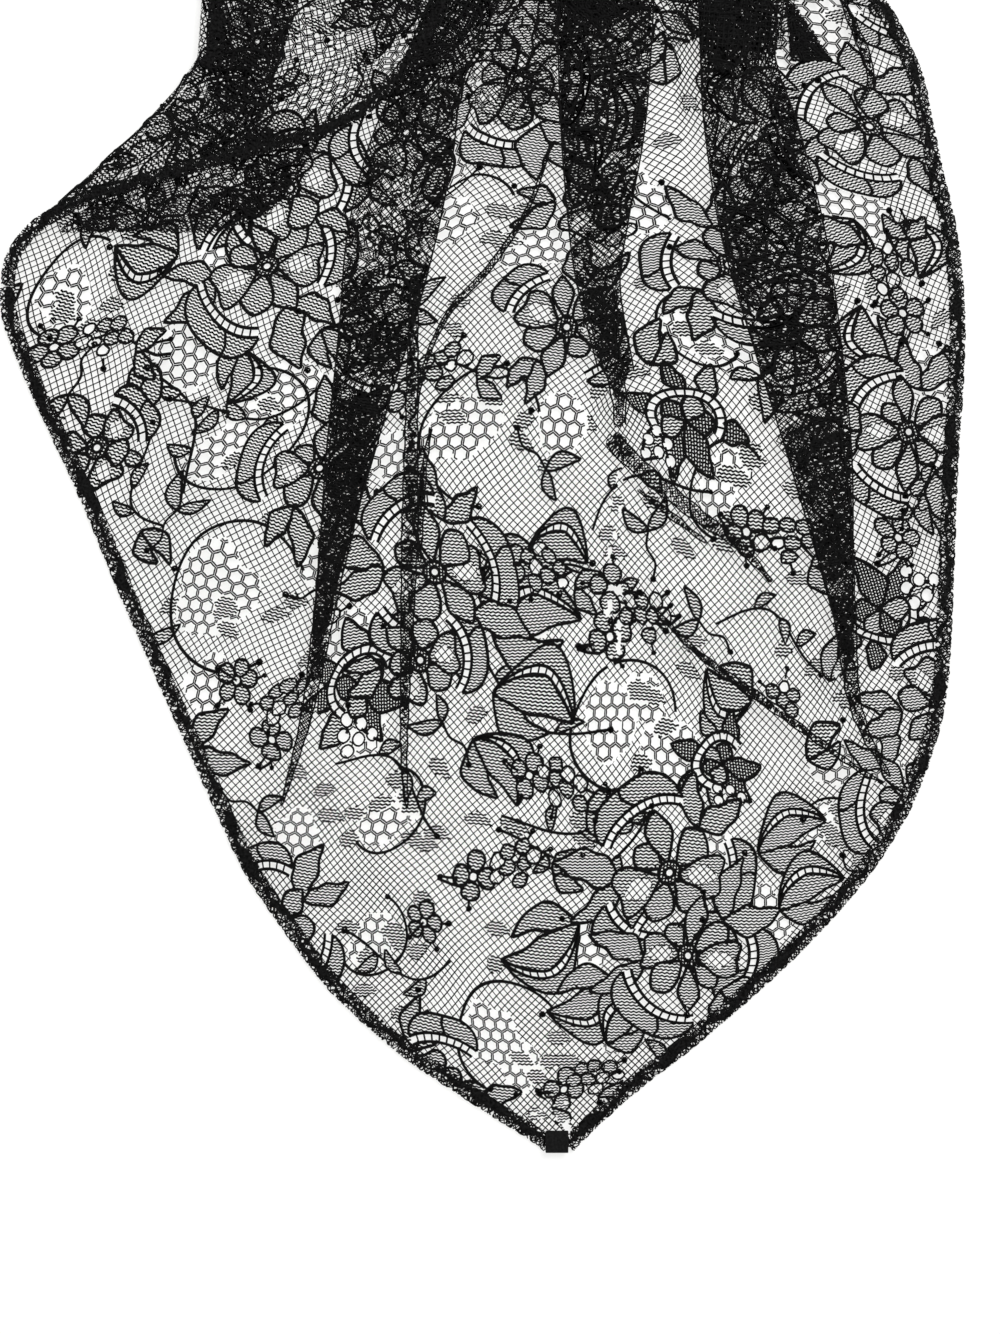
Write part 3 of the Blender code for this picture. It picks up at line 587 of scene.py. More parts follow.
def pleat_points(pleat, height):
    """One pleat from left to right: x, height above the flat, and its layer (0, 1 or 2 from the top)."""
    rows = pleat["rows"]
    left = at_height(rows, height, "left")
    right = at_height(rows, height, "right")
    middle = (left + right) / 2
    above = height - rows[0].height
    stage = np.clip(above / RIDGE_RUN, 0, 1) + np.clip((above - RIDGE_RUN) / ROLL_RUN, 0, 1)
    grown = max(above - RIDGE_RUN - ROLL_RUN, 0.0)
    overlap = min(max(right - left - 2 * TURN, 0.0), 0.6 + grown * 0.9)
    advance, drop = pleat_turn(stage, overlap)
    span = advance[-1]
    rise = drop[-1]
    top_x = middle - span / 2
    ramp_end = min(top_x, middle - abs(span) / 2 - TURN - WALL)
    if stage < 2.0:
        ramp_end = min(top_x - 0.6, middle - abs(span) / 2 - 0.6)
    share = np.arange(5) / 4
    half = TURN_POINTS + 1
    x = np.concatenate([ramp_end - RAMP * (1 - share), [(ramp_end + top_x) / 2], top_x + advance,
                        [top_x + span + RAMP * 0.6]])
    z = np.concatenate([rise * smooth(share), [rise], rise - drop, [0.0]])
    layer = np.concatenate([np.zeros(6), np.linspace(0, 1, half), np.linspace(1, 2, half), [2.0]])
    if pleat["top_layer_from"] == "right":
        return 2 * middle - x[::-1], z[::-1], layer[::-1]
    return x, z, layer


def before_pleats(x, height, stretch=None):
    """Where the cloth outside the pleats was before they were laid: each closes an angle round its start.

    stretch counts the pleats on the left of the cloth; beside a pleat it tells the layers on its sides apart.
    """
    x = np.asarray(x, float)
    height = np.broadcast_to(np.asarray(height, float), x.shape)
    moved = np.stack([x, height], axis=-1)
    for number, pleat in enumerate(PLEATS.values()):
        rows = pleat["rows"]
        start = np.array([rows[0].left, rows[0].height])
        top = np.array([(rows[-1].left + rows[-1].right) / 2, rows[-1].height])
        axis = math.atan2(top[0] - start[0], top[1] - start[1])
        away = np.stack([x, height], axis=-1) - start
        reach = np.hypot(away[..., 0], away[..., 1])
        angle = (np.arctan2(away[..., 0], away[..., 1]) - axis + np.pi) % (2 * np.pi) - np.pi
        share = np.clip(1.0 - np.abs(angle) / OPENING_REACH, 0.0, 1.0)
        side = np.sign(angle)
        if stretch is not None:
            side = np.where(height > rows[0].height, 1.0 if stretch > number else -1.0, side)
        opened = angle + side * math.radians(pleat["hidden"]) / 2 * share + axis
        moved += start + np.stack([reach * np.sin(opened), reach * np.cos(opened)], axis=-1)
        moved -= np.stack([x, height], axis=-1)
    return moved


def section(height):
    """The lace's middle line at a height, left to right: x, z and cloth places, always as many points."""
    left = panel_left(height)
    right = panel_right(height)
    xs, zs, places = [], [], []
    start = left
    for number, name in enumerate((*PLEATS, None)):
        pleat = pleat_points(PLEATS[name], height) if name else None
        end = pleat[0][0] if pleat else right
        flat = np.linspace(start, end, FLAT_COLUMNS[name] + 1)
        if xs:
            flat = flat[1:]
        xs.append(flat)
        zs.append(np.zeros(len(flat)))
        places.append(before_pleats(flat, height, number))
        if pleat:
            x, z = pleat[0], pleat[1]
            fine = np.concatenate([[0.0], np.cumsum(np.hypot(np.diff(x), np.diff(z)))])
            picks = np.interp(np.arange(1, PLEAT_COLUMNS + 1) / PLEAT_COLUMNS,
                              pleat_shares(PLEATS[name]), fine)
            ends = np.stack([before_pleats(x[0], height, number),
                             before_pleats(x[-1], height, number + 1)])
            share = (picks / fine[-1])[:, None]
            xs.append(np.interp(picks, fine, x))
            zs.append(np.interp(picks, fine, z))
            places.append(ends[0] * (1 - share) + ends[1] * share)
            start = x[-1]
    return np.concatenate(xs), np.concatenate(zs), np.concatenate(places)


def pleat_shares(pleat):
    """Share of the grid's columns at each point of a pleat: more for its layers than for its bends."""
    weights = np.ones(2 * TURN_POINTS + 8)
    weights[[4, 5]] = 9.0
    weights[TURN_POINTS + 6] = 18.0
    weights[-1] = 5.0
    if pleat["top_layer_from"] == "right":
        weights = weights[::-1]
    return np.concatenate([[0.0], np.cumsum(weights)]) / weights.sum()


def spread_section(height):
    """Below the pleats the same number of points is spread evenly, and drawn together higher up."""
    share = float(smooth((height - PLEAT_START + GATHER_RUN) / GATHER_RUN))
    x, z, cloth = section(max(height, PLEAT_START))
    left = panel_left(height)
    right = panel_right(height)
    if height < PLEAT_START:
        x = left + (x - x[0]) * (right - left) / (x[-1] - x[0])
    plain = np.linspace(left, right, len(x))
    x = plain + share * (x - plain)
    if height < PLEAT_START + 1.0:
        cloth = before_pleats(x, height)
    return x, z * share, cloth


# ---- stretches of cloth ----
def whole_faces(shown):
    """The grid's faces whose four corners are all there."""
    return shown[:-1, :-1] & shown[1:, :-1] & shown[:-1, 1:] & shown[1:, 1:]


def blend(corners, down, across):
    """A value within a face of the grid, at these shares of it, from its four corners."""
    a, b, c, d = corners
    return (a * (1 - across) + b * across) * (1 - down) + (c * (1 - across) + d * across) * down


class Stretch:
    """A laid stretch of lace: places[row, column] in millimetres and the cloth place of each."""

    def __init__(self, name, places, cloth, shown):
        self.name = name
        self.places = places
        self.cloth = cloth
        self.shown = shown
        across = np.gradient(places, axis=1)
        along = np.gradient(places, axis=0)
        normal = np.cross(across, along)
        self.normals = normal / np.maximum(np.linalg.norm(normal, axis=2, keepdims=True), 1e-9)
        self.low = cloth[shown].min(0) - 2 * NEAR
        size = ((cloth[shown].max(0) - self.low) / NEAR).astype(int) + 3
        self.nearest = np.full((size[0], size[1], 2), -1.0)
        cell = ((cloth[shown] - self.low) / NEAR).astype(int)
        self.nearest[cell[:, 0], cell[:, 1]] = np.argwhere(shown)
        for _ in range(4):
            for axis, step in ((0, 1), (0, -1), (1, 1), (1, -1)):
                beside = np.roll(self.nearest, step, axis=axis)
                empty = self.nearest[..., 0] < 0
                self.nearest[empty] = beside[empty]

    def corners(self, field, place):
        """A field's values at the four grid points round each place, and the shares within the face."""
        rows, columns = self.shown.shape
        row = np.clip(place[:, 0], 0, rows - 1.001)
        col = np.clip(place[:, 1], 0, columns - 1.001)
        r0 = row.astype(int)
        c0 = col.astype(int)
        values = (field[r0, c0], field[r0, c0 + 1], field[r0 + 1, c0], field[r0 + 1, c0 + 1])
        return values, (row - r0)[:, None], (col - c0)[:, None]

    def read(self, field, place):
        """A field between the grid's points, in straight runs."""
        return blend(*self.corners(field, place))

    def find(self, spots):
        """Grid place of each cloth place, and whether the stretch has it."""
        rows, columns = self.shown.shape
        limit = (rows - 1.001, columns - 1.001)
        cell = ((spots - self.low) / NEAR).astype(int)
        outside = (cell < 0).any(axis=1) | (cell >= self.nearest.shape[:2]).any(axis=1)
        cell = np.clip(cell, 0, np.array(self.nearest.shape[:2]) - 1)
        place = self.nearest[cell[:, 0], cell[:, 1]]
        outside |= place[:, 0] < 0
        place = np.clip(place, (0, 0), limit)
        for _ in range(9):
            (a, b, c, d), down, across = self.corners(self.cloth, place)
            error = spots - blend((a, b, c, d), down, across)
            by_row = (c - a) * (1 - across) + (d - b) * across
            by_col = (b - a) * (1 - down) + (d - c) * down
            area = by_row[:, 0] * by_col[:, 1] - by_row[:, 1] * by_col[:, 0]
            area = np.where(np.abs(area) < 1e-6, 1e-6, area)
            step = np.stack([error[:, 0] * by_col[:, 1] - error[:, 1] * by_col[:, 0],
                             by_row[:, 0] * error[:, 1] - by_row[:, 1] * error[:, 0]], axis=1) / area[:, None]
            place = np.clip(place + np.clip(step, -2.0, 2.0), (0, 0), limit)
        error = spots - self.read(self.cloth, place)
        near = np.linalg.norm(error, axis=1) < MATCH
        cover = self.read(self.shown[:, :, None].astype(float), place)[:, 0]
        return place, near & (cover > 0.99) & ~outside

    def lay(self, spots):
        """Laid place, upward direction and presence of each cloth place."""
        place, there = self.find(spots)
        normal = self.read(self.normals, place)
        return self.read(self.places, place), normal, there


def make_panel_stretch():
    """The main stretch, with its three pleats, as a grid whose columns follow the folds."""
    heights = np.arange(PANEL_LOW, PANEL_TOP + 0.01, ROW_STEP)
    sections = [spread_section(h) for h in heights]
    x = np.array([part[0] for part in sections])
    z = np.array([part[1] for part in sections])
    cloth = np.array([part[2] for part in sections])
    flat = np.clip(1 - z / 0.6, 0, 1)
    y = np.repeat(heights[:, None], x.shape[1], axis=1)
    z = z + ridge_height(x, y) * flat + LACE_LEVEL + wrinkles(x, y) * flat
    cloth = cloth + wander(cloth)
    return Stretch("panel", np.stack([x, y, z], axis=-1), cloth, np.ones(x.shape, bool))


def wrinkles(x, y):
    """Shallow unevenness of cloth that lies loosely."""
    swell = (np.sin(x / 17.0 + 0.6 * np.sin(y / 23.0)) * np.sin(y / 29.0 + 1.3)
             + 0.6 * np.sin(x / 7.5 - y / 11.0 + np.sin(y / 15.0)))
    return 0.16 * (swell + 1.6)


def wander(cloth):
    """Small drift of the threads, as lace is never quite square."""
    p, q = cloth[..., 0], cloth[..., 1]
    drift = np.empty_like(cloth)
    drift[..., 0] = (0.75 * np.sin(q / 8.0 + 1.3 * np.sin(p / 21.0)) + 0.35 * np.sin(p / 5.3 + q / 6.1)
                     + 2.4 * np.sin(q / 31.0 + p / 47.0))
    drift[..., 1] = (0.75 * np.sin(p / 9.5 + 1.1 * np.sin(q / 18.0)) + 0.35 * np.sin(q / 4.9 - p / 7.3)
                     + 2.4 * np.sin(p / 37.0 - q / 53.0 + 1.0))
    return drift


# ---- the lace's design, in cloth places ----
class Design:
    """Cords, grounds and knots of the lace. A fill is drawn over the ones before it."""

    def __init__(self):
        size = ((np.array(CLOTH_HIGH) - CLOTH_LOW) / CELL).astype(int)
        self.ground = np.zeros((size[1], size[0]), np.uint8)
        self.taken = np.zeros_like(self.ground, bool)
        self.layer = np.zeros(self.ground.shape, np.uint16)
        self.count = 0
        self.cords = []
        self.knots = []

    def cells(self, low, high):
        """Index ranges and cloth places of the map's cells in a box."""
        first = np.clip(((low - CLOTH_LOW) / CELL).astype(int), 0, None)
        last = np.clip(((high - CLOTH_LOW) / CELL).astype(int) + 2, 0, self.ground.shape[::-1])
        p = CLOTH_LOW[0] + (np.arange(first[0], last[0]) + 0.5) * CELL
        q = CLOTH_LOW[1] + (np.arange(first[1], last[1]) + 0.5) * CELL
        return first, last, np.meshgrid(p, q)

    def inside(self, outline):
        """Cells inside a closed outline."""
        first, last, (p, q) = self.cells(outline.min(0), outline.max(0))
        if p.size == 0:
            return first, last, np.zeros(p.shape, bool)
        hit = np.zeros(p.shape, bool)
        for (x0, y0), (x1, y1) in zip(outline, np.roll(outline, -1, axis=0)):
            crosses = (y0 > q) != (y1 > q)
            if y0 != y1:
                hit ^= crosses & (p < x0 + (q - y0) * (x1 - x0) / (y1 - y0))
        return first, last, hit

    def fill(self, outline, kind, only_on=None, takes=True):
        first, last, hit = self.inside(np.asarray(outline))
        part = self.ground[first[1]:last[1], first[0]:last[0]]
        if only_on is not None:
            hit &= part == only_on
        part[hit] = kind
        if takes:
            self.taken[first[1]:last[1], first[0]:last[0]] |= hit
            self.count += 1
            self.layer[first[1]:last[1], first[0]:last[0]][hit] = self.count

    def cell_of(self, spots):
        cell = ((spots - CLOTH_LOW) / CELL).astype(int)
        cell = np.clip(cell, 0, np.array(self.ground.shape[::-1]) - 1)
        return cell[..., 1], cell[..., 0]

    def kind_at(self, spots):
        return self.ground[self.cell_of(spots)]

    def open_runs(self):
        """The cords, cut where a later shape lies over them."""
        for points, width, count in self.cords:
            points = even(points, 0.8)
            covered = self.layer[self.cell_of(points)] > count
            buried = covered.copy()
            buried[1:] &= covered[:-1]
            buried[:-1] &= covered[1:]
            for _, start, end in spans(~buried[None, :]):
                if end - start > 1:
                    yield points[start:end], width

    def free_at(self, spot, radius):
        first, last, (p, q) = self.cells(np.subtract(spot, radius), np.add(spot, radius))
        near = np.hypot(p - spot[0], q - spot[1]) < radius
        return p.size > 0 and not (self.taken[first[1]:last[1], first[0]:last[0]] & near).any()

    def cord(self, points, width=CORD):
        self.cords.append((np.asarray(points, float), width, self.count))

    def shape(self, outline, kind, width=CORD):
        """A filled shape with a cord round it."""
        outline = np.asarray(outline)
        self.fill(outline, kind)
        self.cord(closed(outline), width)

    def hole(self, outline, width):
        """An open hole with a cord round it."""
        self.fill(outline, OPEN)
        self.cord(closed(outline), width)

    def knot(self, place, size=1.0):
        self.knots.append((place[0], place[1], size))


def petal_outline(length, width, start=0.0, notch=0.0, point=0.0, tilt=0.0):
    """Petal along +x: narrow at its root, widest past its middle, with a notched, pointed or round tip."""
    t = np.linspace(0, 1, 17)
    half = width / 2 * (np.sin(np.pi * t ** 1.35) ** 0.75) * (0.75 + 0.25 * t)
    half = half * (1 - point * smooth((t - 0.55) / 0.45) * 0.45)
    x = start + (length - start) * t
    x = x - notch * length * 0.16 * smooth((t - 0.8) / 0.2)
    sway = tilt * width * np.sin(np.pi * t)
    ripple = 1 + 0.05 * np.sin(9 * t + 7 * tilt)
    upper = np.stack([x, sway + half * ripple], axis=1)
    lower = np.stack([x, sway - half * (2 - ripple)], axis=1)
    if notch:
        lobe = (t > 0.55) & (t < 0.95)
        upper[lobe, 0] += notch * length * 0.05
        lower[lobe, 0] += notch * length * 0.05
    return np.vstack([upper, lower[-2:0:-1]])


def leaf_outline(length, width, curl=0.12, lobes=0.0, shift=0.0):
    """Pointed leaf along +x that bends a little, with smooth or lobed sides."""
    t = np.linspace(0, 1, 19)
    half = width / 2 * np.sin(np.pi * t ** 0.8)
    bend = curl * length * np.sin(np.pi * t)
    upper = np.stack([t * length, bend + half * (1 + lobes * np.sin(15 * t + shift))], axis=1)
    lower = np.stack([t * length, bend - half * (0.85 + lobes * np.sin(13 * t + 2 + shift))], axis=1)
    return np.vstack([upper, lower[-2:0:-1]])


def ring(radius, count=18):
    angle = np.linspace(0, 2 * np.pi, count, endpoint=False)
    return np.stack([radius * np.cos(angle), radius * np.sin(angle)], axis=1)


def arc(radius, start, end, count=22):
    angle = np.radians(np.linspace(start, end, count))
    return np.stack([radius * np.cos(angle), radius * np.sin(angle)], axis=1)


def draw_ladder(design, inner, outer):
    """Open squares between two cords, with a rung at every other step."""
    design.fill(np.vstack([inner, outer[::-1]]), OPEN)
    design.cord(inner)
    design.cord(outer)
    middle = even((inner + outer) / 2, LADDER_STEP)
    count = len(middle)
    for start, end in list(zip(even_count(inner, count), even_count(outer, count)))[1:-1]:
        design.cord([start, end], FINE_CORD)


def draw_flower(design, place, radius, petals, turn):
    """A ring with a hole, and petals of three kinds round it."""
    eye = 2.3 + radius * 0.03
    for index in rng.permutation(petals):
        angle = turn + 360.0 * index / petals + rng.uniform(-6, 6)
        style = index % len(PETALS)
        long, wide, notch, point = PETALS[style]
        length = radius * long * rng.uniform(0.95, 1.06)
        width = radius * wide * (7.0 / petals)
        outline = petal_outline(length, width, eye * 0.7, notch, point, rng.uniform(-0.07, 0.07))
        design.shape(turned(outline, angle, place), CLOTHWORK)
        if style == 0:
            light = leaf_outline(length * 0.5, width * 0.4, 0.0) + (eye + length * 0.12, 0.0)
            design.fill(turned(light, angle, place), NET)
        if style == 2 and rng.random() < 0.7:
            design.knot(spot_at(length + 0.9, 0.0, angle, place))
    design.fill(turned(ring(eye), 0, place), DENSE)
    design.fill(turned(ring(1.0), 0, place), OPEN)
    for reach in (eye, 1.15):
        design.cord(closed(turned(ring(reach, 16), 0, place)))


def draw_spray(design, place, radius, turn, count):
    """Leaves, crescents and ladders that lean on a flower and are drawn before it."""
    for index in range(count):
        angle = turn + 360.0 / count * index + rng.uniform(-14, 14)
        if index % 2 == 0:
            sweep = rng.uniform(28, 46)
            near = radius * rng.uniform(1.02, 1.12)
            low, high = angle - sweep, angle + sweep
            swell = near + LADDER_WIDE + radius * 0.42 * np.sin(np.linspace(0, np.pi, 22)) ** 0.7
            swell += 0.8 * np.sin(np.linspace(0, 9, 22))
            far = arc(1.0, low, high) * swell[:, None]
            inner = arc(near, low, high)
            outer = arc(near + LADDER_WIDE, low, high)
            design.shape(np.vstack([outer, far[::-1]]) + place, CLOTHWORK)
            split = int(rng.integers(8, 15))
            vein = np.array([outer[split], outer[split] * 0.4 + far[split + 2] * 0.6, far[split + 1]])
            design.cord(vein + place)
            draw_ladder(design, inner + place, outer + place)
        else:
            root = spot_at(radius * 0.86, 0.0, angle, place)
            for side in (-1, 1):
                length = radius * rng.uniform(0.85, 1.25)
                outline = leaf_outline(length, length * rng.uniform(0.42, 0.52), 0.1 * side, 0.14,
                                       rng.uniform(0, 6))
                design.shape(turned(outline, angle + side * rng.uniform(14, 38), root), CLOTHWORK)
                tip = spot_at(length + 1.0, 0.2, angle + side * 26, root)
                if rng.random() < 0.25:
                    design.knot(tip)
            blot = turned(ring(radius * 0.55, 14) * rng.uniform(0.8, 1.15, (14, 1)), 0,
                          spot_at(radius * 1.9, 0.0, angle + 34, place))
            design.fill(blot, HEX, NET, False)


def draw_leaves_round(design, place, radius, _, turn):
    """The spray round a listed flower: fuller where the flower is large."""
    draw_spray(design, place, radius, turn, 6 if radius > 11.5 else 2)


def pod_outline(start, length, width):
    """Small rounded pod along +x."""
    angle = np.linspace(0, 2 * np.pi, 12, endpoint=False)
    x = start + length * (0.5 - 0.5 * np.cos(angle))
    return np.stack([x, width / 2 * np.sin(angle) * (1 - 0.18 * np.cos(angle))], axis=1)


def draw_floret(design, place, size, turn):
    """Four or five rounded pods that adjoin round a small hole, some with a knot on a stub."""
    count = int(rng.integers(4, 6))
    for index in range(count):
        angle = turn + 360 / count * index + rng.uniform(-5, 5)
        length = size * rng.uniform(0.78, 1.02)
        width = size * (0.86 if count == 5 else 1.0) * rng.uniform(0.9, 1.05)
        design.shape(turned(pod_outline(size * 0.2, length, width), angle, place), CLOTHWORK, CORD * 0.85)
        if rng.random() < 0.4:
            stub = turned([(size * 0.2 + length, 0.0), (size * 0.2 + length + 1.9, 0.4)], angle, place)
            design.cord(stub, THIN_CORD)
            design.knot(stub[1], 0.9)
    design.hole(turned(ring(size * 0.24, 8), turn + 36, place), THIN_CORD)


def draw_pods(design, place, length, width, turn):
    """A patch of small cells: some filled, some open, with knots on stubs round it."""
    for row_number, across in enumerate(np.arange(-width / 2, width / 2 + 0.1, POD_CELL * 0.87)):
        for along in np.arange(-length / 2 + (row_number % 2) * POD_CELL / 2, length / 2, POD_CELL):
            reach = math.hypot(along / length * 2, across / width * 2)
            if reach > 1.05:
                continue
            spot = spot_at(along + rng.uniform(-0.5, 0.5), across + rng.uniform(-0.5, 0.5), turn, place)
            outline = ring(POD_CELL * 0.52, 8) * rng.uniform(0.82, 1.15, (8, 1)) * (1.12, 0.92)
            lucky = rng.random()
            kind = CLOTHWORK if lucky > 0.38 else OPEN if lucky < 0.16 else NET
            design.shape(turned(outline * (0.8 if kind == OPEN else 1.0), turn, spot), kind, CORD * 0.75)
            if reach > 0.62 and rng.random() < 0.5:
                out = spot - place
                out = out / max(np.linalg.norm(out), 0.1)
                design.cord([spot + out * POD_CELL * 0.5, spot + out * POD_CELL * 1.15], THIN_CORD)
                design.knot(spot + out * POD_CELL * 1.15, 0.9)


def draw_chain(design, place, length, turn):
    """Florets and small leaves one after another, with knots at the ends."""
    count = max(int(length / 8.0), 2)
    t = np.linspace(-0.5, 0.5, 12)
    design.cord(turned(np.stack([t * (length + 8), 2.4 * np.sin(9 * t + 1)], axis=1), turn, place), STEM_CORD)
    for index in range(count):
        along = (index + 0.5) / count * length - length / 2
        sway = 2.4 * math.sin(index * 2.1)
        spot = spot_at(along, sway, turn, place)
        if index % 3 == 1:
            draw_pods(design, spot, 13.0, 8.5, turn + rng.uniform(-25, 25))
        elif index % 3 == 2:
            for side in (-1, 1):
                outline = leaf_outline(8.5, 4.4, 0.1 * side, 0.1)
                design.shape(turned(outline, turn + side * 38, spot), CLOTHWORK, STEM_CORD)
        else:
            draw_floret(design, spot, 5.2, turn + rng.uniform(-20, 20))
    for end in (-1, 1):
        stub = turned([(end * (length / 2 - 1), 0), (end * (length / 2 + 3.2), 1.2)], turn, place)
        design.cord(curve_through(stub, 1.0), THIN_CORD)
        design.knot(stub[-1])


def draw_leaf(design, place, length, width, turn):
    """A lobed leaf of clothwork beside a ladder of open squares, with a smaller leaf on its far side."""
    other = leaf_outline(length * 0.8, width * 0.9, -0.22, 0.1, 1.0)
    design.shape(turned(other, turn - 12, place), CLOTHWORK)
    t = np.linspace(0.0, 1.0, 19)
    bend = 0.12 * length * np.sin(np.pi * t)
    edge = width / 2 * np.sin(np.pi * t ** 0.8)
    inner = np.stack([t * length, bend + edge], axis=1)
    outer = inner + np.stack([np.zeros_like(t), LADDER_WIDE * np.sin(np.pi * t) ** 0.4], axis=1)
    if length > 13.5:
        beyond = outer + np.stack([np.zeros_like(t), width * 0.6 * np.sin(np.pi * t ** 1.2) ** 0.8], axis=1)
        design.shape(turned(np.vstack([outer, beyond[::-1]]), turn, place), CLOTHWORK)
        draw_ladder(design, turned(inner, turn, place), turned(outer, turn, place))
    design.shape(turned(leaf_outline(length, width, 0.12, 0.08), turn, place), CLOTHWORK)
    if rng.random() < 0.5:
        design.knot(spot_at(length + 1.3, 0.4, turn, place))


def draw_rose(design, place, size, turn):
    """A loose fan of dark leaves on both sides of a curved ladder, with a patch of large mesh beside it."""
    reach = size * 0.5
    for index in range(5):
        angle = turn - 40 + 47 * index + rng.uniform(-8, 8)
        root = spot_at(reach + LADDER_WIDE * 0.5, 0.0, angle, place)
        length = size * rng.uniform(0.55, 0.85)
        outline = leaf_outline(length, length * rng.uniform(0.55, 0.7), 0.1, 0.08, index)
        kind = DENSE if index % 3 != 1 else CLOTHWORK
        design.shape(turned(outline, angle + rng.uniform(10, 50), root), kind)
    for index in range(2):
        angle = turn + 215 + 55 * index
        outline = leaf_outline(size * 0.95, size * 0.5, -0.12, 0.08, index)
        design.shape(turned(outline, angle, place), DENSE)
    for index in range(4):
        angle = turn - 25 + 62 * index + rng.uniform(-8, 8)
        outline = petal_outline(reach * 1.02, reach * 0.9, 0.0, 0.0, 0.5, rng.uniform(-0.15, 0.15))
        design.shape(turned(outline, angle, place), DENSE if index % 2 == 0 else CLOTHWORK)
    low, high = turn - 50, turn + 150
    wave = 1 + 0.09 * np.sin(np.linspace(0, 3 * np.pi, 22))[:, None]
    inner, outer = (arc(radius, low, high) * wave + place for radius in (reach, reach + LADDER_WIDE))
    draw_ladder(design, inner, outer)
    for along, across in ROSE_HOLES:
        spot = spot_at(along * size, across * size, turn + 180, place)
        design.hole(turned(ring(size * 0.115, 9), 0, spot), FINE_CORD)


def draw_hoop(design, place, radius, sweep, start):
    """An open hoop of cord with the large mesh and a few small leaves inside it."""
    for size, reach in ((0.62, 0.3), (0.45, 0.55)):
        blob = ring(radius * size, 22) * (1.0, 0.8) * rng.uniform(0.86, 1.14, (22, 1))
        middle = spot_at(radius * reach, 0.0, start + sweep * rng.uniform(0.1, 0.9), place)
        design.fill(turned(blob, rng.uniform(0, 180), middle), HEX, NET, False)
    first, last, hit = design.inside(turned(ring(radius * 0.8, 20), 0, place))
    design.taken[first[1]:last[1], first[0]:last[0]] |= hit
    swell = radius * (1.0 + 0.05 * np.sin(np.linspace(0, 3 * np.pi, 40)))
    rim = arc(1.0, start, start + sweep, 40) * swell[:, None]
    design.cord(rim + place)
    design.knot(rim[-1] + place)
    for angle in rng.uniform(0, 360, 5):
        spot = spot_at(radius * rng.uniform(0.3, 0.8), 0, angle, place)
        outline = leaf_outline(*GREY_LEAF, 0.05)
        design.fill(turned(outline, rng.uniform(-25, 25), spot), GREY, takes=False)


def draw_stem(design, place, reach, bend, turn):
    """A curved stem with small leaves on it, ending in a knot."""
    t = np.linspace(0, 1, 7)
    sway = bend * np.sin(np.pi * t) * (1 - 0.4 * t) + 1.5 * np.sin(2 * np.pi * t)
    line = np.stack([t * reach, sway], axis=1)
    path = curve_through(line, 1.0)
    design.cord(turned(path, turn, place), STEM_CORD)
    design.knot(turned(path[-1:], turn, place)[0])
    for share, side in ((0.3, 1), (0.5, -1), (0.72, 1)):
        spot = path[int(share * (len(path) - 1))]
        root = turned([spot], turn, place)[0]
        outline = leaf_outline(rng.uniform(5.5, 8.0), rng.uniform(2.8, 3.8))
        design.shape(turned(outline, turn + side * 48, root), CLOTHWORK, THIN_CORD)


def draw_sprig(design, place, turn, small):
    """Fill-in motifs between the large ones."""
    if small:
        if rng.random() < 0.5:
            draw_pods(design, place, 11.0, 7.5, turn)
            return
        draw_floret(design, place, rng.uniform(4.4, 5.4), turn)
        tip = spot_at(6.3, 0.6, turn, place)
        design.cord([place, tip], THIN_CORD)
        design.knot(tip)
        return
    for side in (-1, 1):
        length = rng.uniform(7.0, 10.5)
        outline = leaf_outline(length, length * 0.42, 0.12 * side)
        design.shape(turned(outline, turn + side * rng.uniform(25, 50), place), CLOTHWORK, STEM_CORD)
    stem = curve_through([(0, 0), (-4, 1.5), (-8, 0.4), (-11.5, 2.5)], 1.0)
    design.cord(turned(stem, turn, place), CORD * 0.85)
    design.knot(turned(stem[-1:], turn, place)[0])


def cloth_place(panel, x, height):
    """Cloth place and turn, in degrees, of the top layer at a laid place."""
    row = int(np.clip(round((height - panel.places[0, 0, 1]) / ROW_STEP), 0, len(panel.places) - 2))
    level = panel.places[row, :, 2].copy()
    level[np.abs(panel.places[row, :, 0] - x) > 1.2] = -1.0
    col = int(np.argmax(level))
    if level[col] < 0:
        return None
    up = panel.cloth[min(row + 4, len(panel.cloth) - 1), col] - panel.cloth[row, col]
    return panel.cloth[row, col], math.degrees(math.atan2(up[1], up[0])) - 90.0


def make_design(panel):
    design = Design()

    def at(row):
        found = cloth_place(panel, row.x, row.height)
        return found if found else (np.array([row.x, row.height]), 0.0)

    for rows, draw in ((HOOPS, draw_hoop), (STEMS, draw_stem), (LEAVES, draw_leaf), (CHAINS, draw_chain),
                       (ROSES, draw_rose), (FLOWERS, draw_leaves_round), (FLOWERS, draw_flower)):
        for row in rows:
            place, spin = at(row)
            draw(design, place, *row[2:-1], row.turn + spin)
    fill_between(design, panel)
    return design


